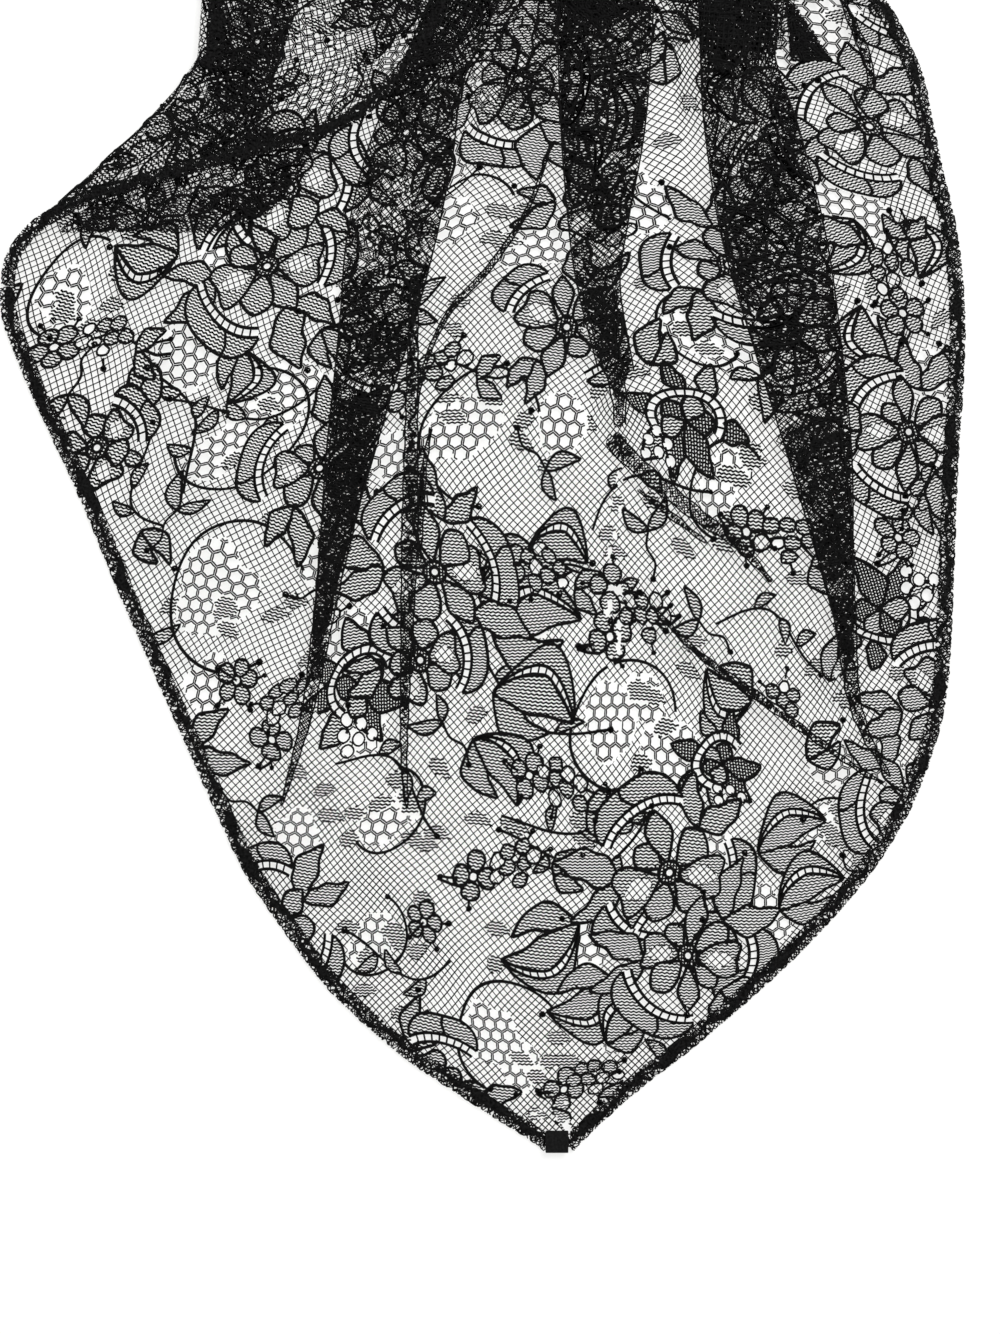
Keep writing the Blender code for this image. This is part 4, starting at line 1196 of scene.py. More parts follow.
def fill_between(design, panel):
    """Flowers where the lace has no listed motif, then sprigs, then small leaves of clothwork in the net."""
    seen = panel.cloth[panel.shown]
    low = seen.min(0) - 6
    high = seen.max(0) + 6
    for radius, clear, step in FILL_IN:
        for q in np.arange(low[1], high[1], step * 0.8):
            for p in np.arange(low[0], high[0], step):
                spot = np.array([p, q]) + rng.uniform(-0.4, 0.4, 2) * step
                turn = rng.uniform(0, 360)
                lucky = rng.random()
                if not design.free_at(spot, clear):
                    continue
                if radius and lucky < 0.6:
                    draw_spray(design, spot, radius, turn, 4)
                    draw_flower(design, spot, radius, 7, turn)
                elif not radius and lucky < 0.62:
                    draw_sprig(design, spot, turn, lucky < 0.22)
    for q in np.arange(low[1], high[1], GREY_STEP[1]):
        for p in np.arange(low[0], high[0], GREY_STEP[0]):
            spot = np.array([p, q]) + rng.uniform(-2.0, 2.0, 2)
            if rng.random() < 0.55 and design.free_at(spot, 2.2):
                outline = leaf_outline(GREY_LEAF[0] * rng.uniform(0.8, 1.2), GREY_LEAF[1], 0.05)
                design.fill(turned(outline, rng.uniform(-30, 30), spot), GREY, NET, False)


# ---- threads ----
def spans(flags):
    """Start and end of each run of true values along the rows of a table."""
    edges = np.diff(np.pad(flags.astype(np.int8), ((0, 0), (1, 1))), axis=1)
    rows, starts = np.nonzero(edges == 1)
    _, ends = np.nonzero(edges == -1)
    return zip(rows, starts, ends)


def clothwork_rows(design, low, high, kinds, pitch, wave, upright=False):
    """Rows of thread that fill the grounds of the given kinds: a list of runs of points."""
    along, across = (1, 0) if upright else (0, 1)
    steps = np.arange(low[along], high[along], HATCH_STEP)
    rows = np.arange(low[across], high[across], pitch)
    grid = np.empty((len(rows), len(steps), 2))
    grid[..., along] = steps
    grid[..., across] = rows[:, None]
    lines = []
    for row, start, end in spans(np.isin(design.kind_at(grid), kinds)):
        if end - start < 3:
            continue
        picks = np.unique(np.concatenate([np.arange(start, end, 2), [end - 1]]))
        run = grid[row, picks]
        run[:, across] += wave * np.where((picks // 2) % 2 == 0, 1.0, -1.0)
        lines.append(run)
    return lines


def round_mesh(design, low, high):
    """Six-sided loops of the large mesh, side by side, cut off at the edge of their ground."""
    lines = []
    loop = closed(ring(HEX_PITCH * HEX_LOOP, 12) * np.where(np.arange(12) % 2 == 1, HEX_CORNER, 1.0)[:, None])
    for index, q in enumerate(np.arange(low[1], high[1], HEX_PITCH * HEX_ROW)):
        row = np.arange(low[0] + (index % 2) * HEX_PITCH / 2, high[0], HEX_PITCH)
        spots = np.stack([row, np.full(len(row), q)], axis=1)
        near = np.zeros(len(row), bool)
        for shift in ((0, 0), (HEX_OVER, 0), (-HEX_OVER, 0), (0, HEX_OVER), (0, -HEX_OVER)):
            near |= design.kind_at(spots + shift) == HEX
        for spot in spots[near]:
            line = loop + spot
            inside = design.kind_at(line) == HEX
            if inside.all():
                lines.append(line)
            else:
                lines += [line[start:end] for _, start, end in spans(inside[None, :]) if end - start > 1]
    return lines


def lay_threads(stretch, name, parts, lift, raised=0.0):
    """One mesh of ribbons, flat or raised with two sloping sides and a top; parts are runs and widths."""
    runs = [(np.asarray(line, float), width) for lines, width in parts for line in lines if len(line) > 1]
    if not runs:
        return None
    points = np.vstack([line for line, _ in runs])
    aside = np.vstack([sideways(line) * width / 2 for line, width in runs])
    widths = np.concatenate([np.full(len(line), width) for line, width in runs])
    joined = np.ones(len(points) - 1, bool)
    joined[np.cumsum([len(line) for line, _ in runs])[:-1] - 1] = False
    left, normal, there = stretch.lay(points + aside)
    right, _, there_too = stretch.lay(points - aside)
    there &= there_too & (np.linalg.norm(left - right, axis=1) < widths * 1.8)
    left = left + normal * lift
    right = right + normal * lift
    strips = [left, right]
    if raised:
        middle = (left + right) / 2 + normal * (widths * raised)[:, None]
        crest = (left - right) * 0.22
        strips = [left, middle + crest, middle - crest, right]
    steps = np.nonzero(joined & there[:-1] & there[1:])[0]
    if len(steps) == 0:
        return None
    faces = []
    for band in range(len(strips) - 1):
        a = band * len(points)
        b = (band + 1) * len(points)
        faces.append(np.stack([a + steps, b + steps, b + steps + 1, a + steps + 1], axis=1))
    return new_mesh(name, placed(np.vstack(strips)), np.vstack(faces))


def new_mesh(name, points, faces):
    """A mesh object from arrays of points and four-cornered faces, without loose points."""
    used, inverse = np.unique(faces, return_inverse=True)
    mesh = bpy.data.meshes.new(name)
    faces = inverse.reshape(faces.shape)
    points = np.asarray(points)[used]
    mesh.vertices.add(len(points))
    mesh.vertices.foreach_set("co", points.astype(np.float32).ravel())
    mesh.loops.add(faces.size)
    mesh.loops.foreach_set("vertex_index", faces.astype(np.int32).ravel())
    mesh.polygons.add(len(faces))
    sides = faces.shape[1]
    mesh.polygons.foreach_set("loop_start", np.arange(0, faces.size, sides, dtype=np.int32))
    mesh.polygons.foreach_set("use_smooth", np.ones(len(faces), bool))
    mesh.update(calc_edges=True)
    mesh.validate()
    item = bpy.data.objects.new(name, mesh)
    bpy.context.scene.collection.objects.link(item)
    return item


def make_knots(design, stretch, name, lift):
    """Small uneven knots of cord."""
    if not design.knots:
        return None
    spots = np.array([knot[:2] for knot in design.knots])
    sizes = np.array([knot[2] for knot in design.knots])
    place, normal, there = stretch.lay(spots)
    bands, around = 4, 7
    points, faces = [], []
    for centre, up, size, shown in zip(place, normal, sizes, there):
        if not shown:
            continue
        radius = 0.95 * size * rng.uniform(0.85, 1.15)
        side = np.cross(up, (0.3, 1.0, 0.1))
        side /= np.linalg.norm(side)
        ahead = np.cross(up, side)
        base = len(points)
        for band in range(bands):
            polar = np.pi * (band + 0.5) / bands
            for step in range(around):
                angle = 2 * np.pi * step / around
                reach = radius * rng.uniform(0.85, 1.2)
                points.append(centre + up * (lift + 0.3 + 0.42 * radius * math.cos(polar))
                              + (side * math.cos(angle) + ahead * math.sin(angle)) * reach * math.sin(polar))
        for band in range(bands - 1):
            for step in range(around):
                after = (step + 1) % around
                low = base + band * around
                faces.append((low + step, low + after, low + around + after, low + around + step))
        for band in (0, bands - 1):
            low = base + band * around
            faces.append((low, low + 1, low + 2, low + 3))
            faces.append((low, low + 3, low + 4, low + 6))
    if not points:
        return None
    points = np.array(points)
    points[:, 2] = np.maximum(points[:, 2], 0.05)
    return new_mesh(name, placed(points), np.array(faces))


# ---- materials ----
def node(tree, kind, **settings):
    made = tree.nodes.new(kind)
    for name, value in settings.items():
        setattr(made, name, value)
    return made


def calculate(tree, operation, first, second=None):
    """A Math node on links or numbers; gives its output."""
    made = node(tree, "ShaderNodeMath", operation=operation)
    for socket, value in zip(made.inputs, (first, second)):
        if value is None:
            continue
        if isinstance(value, (int, float)):
            socket.default_value = value
        else:
            tree.links.new(value, socket)
    return made.outputs[0]


def black_thread(name, dark, light, roughness, grain, bump):
    """Black cotton: uneven colour, fine grain and a little sheen."""
    material = bpy.data.materials.new(name)
    material.use_nodes = True
    tree = material.node_tree
    shader = tree.nodes["Principled BSDF"]
    where = node(tree, "ShaderNodeTexCoord")
    noise = node(tree, "ShaderNodeTexNoise")
    noise.inputs["Scale"].default_value = grain
    noise.inputs["Detail"].default_value = 4.0
    tree.links.new(where.outputs["Object"], noise.inputs["Vector"])
    ramp = node(tree, "ShaderNodeValToRGB")
    ramp.color_ramp.elements[0].position = 0.35
    ramp.color_ramp.elements[0].color = (dark, dark, dark, 1.0)
    ramp.color_ramp.elements[1].position = 0.7
    ramp.color_ramp.elements[1].color = (light, light, light, 1.0)
    tree.links.new(noise.outputs["Fac"], ramp.inputs["Fac"])
    tree.links.new(ramp.outputs["Color"], shader.inputs["Base Color"])
    shader.inputs["Roughness"].default_value = roughness
    shader.inputs["Specular IOR Level"].default_value = 0.03
    if bump:
        relief = node(tree, "ShaderNodeBump")
        relief.inputs["Strength"].default_value = 0.6
        relief.inputs["Distance"].default_value = bump
        tree.links.new(noise.outputs["Fac"], relief.inputs["Height"])
        tree.links.new(relief.outputs["Normal"], shader.inputs["Normal"])
    return material


def net_material():
    """The fine net: threads both ways between square holes, cut away where another ground takes its place."""
    material = black_thread("fine_net", 0.002, 0.007, 0.85, 900.0, 0.0)
    tree = material.node_tree
    shader = tree.nodes["Principled BSDF"]
    lace = node(tree, "ShaderNodeAttribute", attribute_name="lace_place")
    parts = node(tree, "ShaderNodeSeparateXYZ")
    tree.links.new(lace.outputs["Vector"], parts.inputs[0])
    squeeze = node(tree, "ShaderNodeAttribute", attribute_name="squeeze")
    half = calculate(tree, "MULTIPLY", squeeze.outputs["Fac"], NET_THREAD / NET_PITCH / 2)
    threads = None
    for operation in ("ADD", "SUBTRACT"):
        across = calculate(tree, operation, parts.outputs[0], parts.outputs[1])
        turns = calculate(tree, "MULTIPLY", across, 1 / (math.sqrt(2) * NET_PITCH))
        away = calculate(tree, "PINGPONG", turns, 0.5)
        thread = calculate(tree, "LESS_THAN", away, half)
        threads = thread if threads is None else calculate(tree, "MAXIMUM", threads, thread)
    ground = node(tree, "ShaderNodeAttribute", attribute_name="net_share")
    kept = calculate(tree, "GREATER_THAN", ground.outputs["Fac"], 0.5)
    alpha = calculate(tree, "MULTIPLY", threads, kept)
    tree.links.new(alpha, shader.inputs["Alpha"])
    return material


def gathered_material():
    """Many layers of lace on each other: crossing threads that close up towards the knot."""
    material = black_thread("gathered_layers", 0.0012, 0.006, 0.9, 900.0, 0.0003)
    tree = material.node_tree
    shader = tree.nodes["Principled BSDF"]
    where = node(tree, "ShaderNodeTexCoord")
    parts = node(tree, "ShaderNodeSeparateXYZ")
    tree.links.new(where.outputs["Object"], parts.inputs[0])
    low = (NECK[0].height - CENTRE_Y) * MM
    high = (NECK_CLOSED - CENTRE_Y) * MM
    risen = calculate(tree, "SUBTRACT", parts.outputs[1], low)
    share = calculate(tree, "MULTIPLY", risen, 1 / (high - low))
    risen = calculate(tree, "POWER", calculate(tree, "MAXIMUM", share, 0.0), 1.4)
    filled = calculate(tree, "MULTIPLY", risen, 0.16)
    flutes = node(tree, "ShaderNodeTexNoise", noise_dimensions="1D")
    flutes.inputs["Scale"].default_value = 55.0
    flutes.inputs["Detail"].default_value = 1.0
    tree.links.new(parts.outputs[0], flutes.inputs["W"])
    above = calculate(tree, "MAXIMUM", calculate(tree, "SUBTRACT", flutes.outputs["Fac"], 0.46), 0.0)
    uneven = calculate(tree, "MULTIPLY", above, 0.28)
    width = calculate(tree, "ADD", calculate(tree, "ADD", filled, 0.007), uneven)
    threads = None
    for number, scale in enumerate((420.0, 560.0, 700.0)):
        noise = node(tree, "ShaderNodeTexNoise", noise_dimensions="4D")
        noise.inputs["W"].default_value = 3.0 * number
        noise.inputs["Scale"].default_value = scale
        noise.inputs["Detail"].default_value = 1.0
        tree.links.new(where.outputs["Object"], noise.inputs["Vector"])
        away = calculate(tree, "ABSOLUTE", calculate(tree, "SUBTRACT", noise.outputs["Fac"], 0.5))
        thread = calculate(tree, "LESS_THAN", away, width)
        threads = thread if threads is None else calculate(tree, "MAXIMUM", threads, thread)
    tree.links.new(threads, shader.inputs["Alpha"])
    return material


def net_share(design, spots):
    """Share of the fine net round each cloth place, so that its edge runs smoothly between points."""
    total = np.zeros(spots.shape[:-1])
    steps = (-NET_EDGE, 0.0, NET_EDGE)
    offsets = [(dx, dy) for dx in steps for dy in steps]
    for dx, dy in offsets:
        total += np.array(NET_UNDER)[design.kind_at(spots + (dx, dy))]
    return total / len(offsets)


def drawn_together(stretch):
    """How much the lace is drawn together at each grid point, so that its threads keep their own width."""
    by_row = np.gradient(stretch.cloth, axis=0)
    by_col = np.gradient(stretch.cloth, axis=1)
    lace = np.abs(by_row[..., 0] * by_col[..., 1] - by_row[..., 1] * by_col[..., 0])
    laid = np.cross(np.gradient(stretch.places, axis=0), np.gradient(stretch.places, axis=1))
    laid = np.linalg.norm(laid, axis=2)
    return np.clip(lace / np.maximum(laid, 1e-6), 0.8, 3.2)


# ---- pieces made of lace ----
def make_net(stretch, design, name, material):
    """The stretch's continuous ground, whose threads are in its material."""
    rows, columns = stretch.shown.shape
    index = np.arange(rows * columns).reshape(rows, columns)
    whole = whole_faces(stretch.shown)
    faces = np.stack([index[:-1, :-1][whole], index[:-1, 1:][whole],
                      index[1:, 1:][whole], index[1:, :-1][whole]], axis=1)
    item = new_mesh(name, placed(stretch.places.reshape(-1, 3)), faces)
    used = np.unique(faces)
    spots = stretch.cloth.reshape(-1, 2)[used]
    for label, kind, field, values in (
        ("lace_place", "FLOAT_VECTOR", "vector", np.column_stack([spots, np.zeros(len(spots))])),
        ("net_share", "FLOAT", "value", net_share(design, spots)),
        ("squeeze", "FLOAT", "value", drawn_together(stretch).ravel()[used]),
    ):
        attribute = item.data.attributes.new(label, kind, "POINT")
        attribute.data.foreach_set(field, values.astype(np.float32).ravel())
    item.data.materials.append(material)
    return item


def dress(stretch, design, material, raised=0.45):
    """All threads of one stretch: net, clothwork, large mesh, cords and knots."""
    low = stretch.cloth[stretch.shown].min(0) - 1
    high = stretch.cloth[stretch.shown].max(0) + 1
    name = stretch.name
    net = make_net(stretch, design, name + "_net", material["net"])
    clothwork = lay_threads(stretch, name + "_clothwork", (
        (clothwork_rows(design, low, high, [CLOTHWORK, DENSE], HATCH_PITCH, HATCH_WAVE), HATCH_THREAD),
        (clothwork_rows(design, low, high, [GREY], GREY_PITCH, HATCH_WAVE), GREY_THREAD),
        (clothwork_rows(design, low, high, [DENSE], HATCH_PITCH, 0.0, True), HATCH_THREAD),
    ), 0.10)
    large = lay_threads(stretch, name + "_round_mesh", [(round_mesh(design, low, high), HEX_THREAD)], 0.06)
    cords = [([points], width) for points, width in design.open_runs()
             if (points.max(0) > low).all() and (points.min(0) < high).all()]
    outline = lay_threads(stretch, name + "_cords", cords, 0.08, raised)
    knots = make_knots(design, stretch, name + "_knots", 0.1)
    made = [net]
    for item, look in ((clothwork, "thread"), (large, "thread"), (outline, "cord"), (knots, "cord")):
        if item is not None:
            item.data.materials.append(material[look])
            made.append(item)
    return made


def declare_sheet(net, stretch, held, with_pieces):
    """Works out the widths and lengths of a stretch of lace as cut flat, from its cloth places, or, if
    gathered, from what shows.
    """
    cloth = stretch.places if held == "gathered" else stretch.cloth
    widths = np.linalg.norm(np.diff(cloth, axis=1), axis=2).sum(axis=1) * MM
    lengths = np.linalg.norm(np.diff(cloth, axis=0), axis=2).sum(axis=0) * MM
    whole = whole_faces(stretch.shown)
    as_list(with_pieces)


def finish_piece(items, slot, *nodes):
    for item in items:
        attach(item, "root")
    if nodes:
        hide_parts(*nodes)


# ---- the other stretches ----
def flat_stretch(name, heights, left_of, right_of, level_of, window, spin, columns):
    """A single layer between two limits, on a window of the lace."""
    rows = []
    for height in heights:
        x = np.linspace(left_of(height), right_of(height), columns)
        rows.append(np.stack([x, np.full(columns, height), level_of(x, height)], axis=1))
    places = np.array(rows)
    return Stretch(name, places, turned(places[..., :2], spin, window), np.ones(places.shape[:2], bool))


def make_flap_stretch():
    """The folded left end: round its outer fold, then flat to its hem."""
    heights = np.arange(LEFT_END_START, PANEL_TOP + 0.01, UPPER_STEP)
    columns = np.arange(0, LEFT_END_WIDTH, 1.0)
    places = np.zeros((len(heights), len(columns), 3))
    shown = np.zeros((len(heights), len(columns)), bool)
    for index, height in enumerate(heights):
        outer = float(at_height(OUTLINE, height, "left"))
        level = float(left_end_level(outer, height))
        radius = level / 2
        angles = np.linspace(0, np.pi, 7)
        centre = outer + WALL / 2 + radius
        end = edge_x(height) - HEM_WIDTH / 2 + 0.8
        if end < centre + 1.0:
            continue
        flat = np.linspace(centre, end, 40)[1:]
        x = np.concatenate([centre - radius * np.sin(angles), flat])
        z = LACE_LEVEL + np.concatenate([radius - radius * np.cos(angles), left_end_level(flat, height)])
        run = np.concatenate([[0.0], np.cumsum(np.hypot(np.diff(x), np.diff(z)))])
        places[index, :, 0] = np.interp(columns, run, x)
        places[index, :, 2] = np.interp(columns, run, z)
        shown[index] = columns <= run[-1]
    places[:, :, 1] = heights[:, None]
    places[:, :, 2] += wrinkles(places[:, :, 0] + 40, places[:, :, 1]) * 0.6
    shown &= places[:, :, 2] > 0.1
    grid_p, grid_q = np.meshgrid(columns, heights)
    cloth = turned(np.stack([grid_p - 50.0, grid_q - 300.0], axis=-1), LEFT_END_SPIN, LEFT_END_WINDOW)
    return Stretch("left_end", places, cloth, shown)


def make_neck_stretch():
    """The gathered neck's outer surface: the cloth is drawn together sideways."""
    heights = np.arange(NECK_LOW, NECK_HIGH, NECK_STEP)
    across = np.linspace(0.004, 0.996, NECK_COLUMNS)
    places = np.zeros((len(heights), len(across), 3))
    for index, height in enumerate(heights):
        left = at_height(NECK, height, "left")
        right = at_height(NECK, height, "right")
        crown = at_height(NECK, height, "crown")
        share = (height - NECK[0].height) / (NECK[-1].height - NECK[0].height)
        arch = np.sin(np.pi * across) ** 0.6
        flute = ((0.55 + 0.5 * share) * np.cos(2 * np.pi * NECK_FLUTES * across)
                 + 0.3 * np.sin(2 * np.pi * 27 * across + 2.0 * np.sin(height / 9.0)))
        places[index, :, 0] = left + across * (right - left)
        places[index, :, 1] = height
        level = 2.2 + (crown - 2.2) * arch + flute * np.minimum(arch * 1.6, 1.0)
        places[index, :, 2] = np.maximum(level, 0.8)
    grid_p, grid_q = np.meshgrid((across - 0.5) * NECK_CUT, heights - 335.0)
    cloth = np.stack([grid_p + 15.0, grid_q + 190.0], axis=-1)
    return Stretch("neck", places, cloth, np.ones(places.shape[:2], bool))


def level_over(panel, x, y):
    """Height of the main stretch's topmost layer at laid places."""
    rows = np.clip(np.round((y - panel.places[0, 0, 1]) / ROW_STEP).astype(int), 0, len(panel.places) - 1)
    levels = np.empty(x.shape)
    for spot in np.ndindex(x.shape):
        line = panel.places[rows[spot]]
        levels[spot] = line[np.abs(line[:, 0] - x[spot]) < 1.4, 2].max()
    return levels


def crease_width(widths, share):
    """Width of a narrow fold along its line, rounded off at both ends."""
    ends = 0.1 + 0.9 * smooth(share / 0.04) * smooth((1 - share) / 0.04)
    return np.interp(share, (0.0, 0.5, 1.0), widths) * ends


def make_crease_stretch(panel):
    """The further layers of all narrow folds, as one grid with a hidden row after each layer."""
    places, cloth, shown = [], [], []
    across = np.linspace(-0.5, 0.5, CREASE_COLUMNS)
    for number, (widths, points) in enumerate(CREASES):
        line = curve_through(points, 1.0)
        side = sideways(line)
        share = np.linspace(0, 1, len(line))
        wide = crease_width(widths, share) * (1 + 0.12 * np.sin(np.arange(len(line)) * 0.35))
        for layer, level in enumerate(CREASE_LEVELS):
            spread = across[None, :] * wide[:, None] * (1.0 - 0.25 * layer)
            flat = line[:, None, :] + side[:, None, :] * spread[..., None]
            x, y = flat[..., 0], flat[..., 1]
            height = level_over(panel, x, y) + level
            places.append(np.dstack([x, y, height]))
            along = np.repeat((share * len(line))[:, None], CREASE_COLUMNS, axis=1)
            window = (-110.0 + 21.0 * number, 40.0 + 37.0 * (number % 3) + 130.0 * layer)
            cloth.append(np.dstack([spread, along]) + window)
            shown.append(np.ones(x.shape, bool))
            shown[-1][-1] = False
    return Stretch("crease", np.vstack(places), np.vstack(cloth), np.vstack(shown))


def fold_edges(panel):
    """The two edges of each narrow fold and of each pleat, as runs of laid places."""
    lines = []
    for widths, points in CREASES:
        line = curve_through(points, 1.0)
        wide = crease_width(widths, np.linspace(0, 1, len(line))) * 0.45
        for edge in (-1, 1):
            run = line + sideways(line) * (edge * wide)[:, None]
            run += 0.12 * np.sin(np.arange(len(line)) * 0.8 + edge)[:, None]
            height = level_over(panel, run[:, 0], run[:, 1]) + CREASE_LEVELS[1] + 0.15
            lines.append(np.column_stack([run, height])[2:-2])
    for pleat in PLEATS.values():
        for side_name in ("left", "right"):
            start = pleat["rows"][0].height + RIDGE_RUN
            rows = [row for row in pleat["rows"] if row.height > start]
            run = even(curve_through([(getattr(row, side_name), row.height) for row in rows], 1.0), 1.0)
            height = level_over(panel, run[:, 0], run[:, 1]) + 0.12
            lines.append(np.column_stack([run, height])[:-1])
    return lines


def make_creases(panel, design, material):
    """The narrow folds and the threads along their edges; also works out the length of one strip that is as
    long as all of them.
    """
    stretch = make_crease_stretch(panel)
    items = dress(stretch, design, material, 0.3)
    edges = ribbons("crease_edges", fold_edges(panel), CREASE_EDGE)
    edges.data.materials.append(material["cord"])
    items.append(edges)
    finish_piece(items, "lace")
    longest = sum(len(curve_through(points, 1.0)) for _, points in CREASES) * MM
    sides = [np.diff(stretch.places, axis=axis) for axis in (0, 1)]
    faces = np.linalg.norm(np.cross(sides[0][:, :-1], sides[1][:-1]), axis=2)
    whole = whole_faces(stretch.shown)
    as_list(items[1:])


def limits_of(rows):
    """The left and right limits that a table gives, each as a function of height."""
    return lambda height: at_height(rows, height, "left"), lambda height: at_height(rows, height, "right")


def make_gathers():
    """Further layers at the top, from where each starts up to the neck."""
    made = []
    for name, level, window, spin, limits in GATHERS:
        rows = table("height left right", limits)
        heights = np.arange(rows[0].height, rows[-1].height + 0.01, NECK_STEP)
        made.append(flat_stretch(name, heights, *limits_of(rows),
                                 lambda x, y: level + wrinkles(x, y), window, spin, 40))
    return made


def make_tuck_stretches():
    """The two hidden layers beside the folded end."""
    heights = np.arange(TUCK_START, TUCK_END, UPPER_STEP)
    sides = limits_of(TUCK)
    return (flat_stretch("tuck_lower", heights, *sides,
                         lambda x, y: TUCK_LEVELS[0] + 0 * x, (60.0, -90.0), -12.0, 60),
            flat_stretch("tuck_upper", heights, *sides,
                         lambda x, y: np.minimum(TUCK_LEVELS[1], left_end_level(x, y) - 0.45),
                         (115.0, -150.0), 28.0, 60))


def make_right_end_stretches():
    """The small double fold near the top right."""
    heights = np.arange(RIGHT_END[0].height, RIGHT_END[-1].height, RIGHT_STEP)
    return [flat_stretch(name, heights, *limits_of(RIGHT_END),
                         lambda x, y: level + ridge_height(x, np.full_like(x, y)), window, 0.0, 24)
            for name, level, window in RIGHT_LAYERS]


# ---- hems ----
def side_path(name, low, high, inset):
    """Middle line of a hem along a side of the outline."""
    points = [(getattr(row, name), row.height) for row in OUTLINE if low <= row.height <= high]
    path = curve_through(points, HEM_STEP)
    return path + sideways(path) * inset


def ribbons(name, lines, width):
    """Flat threads that face up, along runs of laid places."""
    points, faces = [], []
    count = 0
    for line in lines:
        line = np.asarray(line, float)
        aside = np.zeros_like(line)
        aside[:, :2] = sideways(line[:, :2]) * width / 2
        points += [line + aside, line - aside]
        size = len(line)
        step = np.arange(size - 1)
        faces.append(count + np.stack([step, size + step, size + step + 1, step + 1], axis=1))
        count += 2 * size
    return new_mesh(name, placed(np.vstack(points)), np.vstack(faces))


def hem_surface(path, levels, across, width, thick):
    """Places on a hem: across runs from -0.5 at its inner edge to 0.5 at its outer one."""
    side = sideways(path)
    profile = np.sqrt(np.clip(1.0 - (2.0 * np.abs(across)) ** 3.0, 0.0, 1.0))
    spots = path + side * (across * width)[:, None]
    return np.column_stack([spots, levels + thick * (0.35 + 0.65 * profile)])


def hem_body(name, path, levels, outside, core, width, thick):
    """The hem's lumpy core, solid black and of uneven width."""
    count = len(path)
    index = np.arange(count)
    top, under = 11, 5
    ring_across = np.concatenate([np.linspace(*core, top), np.linspace(*core[::-1], under)[1:-1]])
    roughness = [0.075 * np.convolve(rng.standard_normal(count + 4), (0.3, 0.6, 0.9, 0.6, 0.3), "valid")
                 + 0.03 * rng.standard_normal(count) for _ in range(2)]
    blots = np.convolve(rng.standard_normal(count + 14), np.hanning(15) / 2.2, "valid")
    narrow = np.clip(0.36 + 0.42 * blots + 0.10 * rng.standard_normal(count), 0.05, 1.0)
    shifted = 0.12 * np.convolve(rng.standard_normal(count + 10), np.hanning(11) / 2.0, "valid")
    middle = (core[0] + core[1]) / 2
    rings = []
    for number, share in enumerate(ring_across):
        lumps = 0.10 * np.sin(index * 0.9 + number) + 0.10 * rng.standard_normal(count)
        edge = abs(2 * number / 10 - 1) if number < top else 1.0
        sway = roughness[0 if 0 < number <= 5 or number > 12 else 1] * edge
        spot = np.clip(middle + shifted + (share - middle) * narrow + sway, -0.5, 0.5)
        points = hem_surface(path, levels, outside * spot, width, thick)
        if number >= top:
            points[:, 2] = levels + 0.02
        elif number in (0, top - 1):
            points[:, 2] = levels + thick * 0.3
        else:
            points[:, 2] += lumps
        rings.append(points)
    around = len(ring_across)
    step = np.arange(count - 1)
    faces = []
    for number in range(around):
        after = (number + 1) % around
        faces.append(np.stack([number * count + step, number * count + step + 1,
                               after * count + step + 1, after * count + step], axis=1))
    return new_mesh(name, placed(np.vstack(rings)), np.vstack(faces))


def hem_thread(path, levels, outside, along, share, width, thick, lift):
    """A thread over the hem: along counts the path's points, and share runs from -0.5 to 0.5 across it."""
    index = np.arange(len(path))
    spots = between(path, index, along)
    side = between(sideways(path), index, along)
    profile = np.sqrt(np.clip(1.0 - (1.9 * np.abs(share)) ** 3.0, 0.0, 1.0))
    height = np.interp(along, index, levels) + thick * (0.3 + 0.72 * profile) + lift
    return np.column_stack([spots + side * (outside * share * width)[:, None], height])


def make_hem(name, path, levels, outside, core, width=HEM_WIDTH, thick=HEM_THICK, fringe=0.0):
    """A hem: the cloth turned twice, as a lumpy core with loops and threads over it and a rough outer edge.

    outside is 1 where the free edge is to the left of the path, and -1 to the right; core is the solid share.
    """
    levels = np.broadcast_to(levels, (len(path),)).astype(float)
    body = hem_body(name, path, levels, outside, core, width, thick)
    length = len(path) - 1
    lines = []
    for start in np.arange(0.5, length - 0.5, HEM_LOOP_STEP):
        at = start + rng.uniform(-0.4, 0.4)
        share = rng.uniform(-0.4, 0.42)
        radius = rng.uniform(0.6, 1.5)
        circle = turned(ring(radius, 8) * (1.0, rng.uniform(0.5, 1.0)), rng.uniform(0, 180))
        circle = np.vstack([circle, circle[:2]])
        share = np.clip(share + circle[:, 1] / width, -0.5, 0.5 + fringe)
        along = np.clip(at + circle[:, 0] / HEM_STEP, 0, length)
        lines.append(hem_thread(path, levels, outside, along, share, width, thick, rng.uniform(0.0, 0.12)))
    for slant, pitch in HEM_SLANTS:
        for start in np.arange(-6.0, length + 6.0, pitch):
            start = start + rng.uniform(-0.35, 0.35)
            share = np.linspace(-0.5, 0.5 + fringe * rng.uniform(0.2, 1.0), 7)
            along = start + slant * (share + 0.5) + 0.25 * rng.standard_normal(7)
            keep = (along >= 0) & (along <= length)
            if keep.sum() > 1:
                lines.append(hem_thread(path, levels, outside, along[keep], share[keep], width, thick, 0.1))
    return [body, ribbons(name + "_threads", lines, HEM_THREAD)]


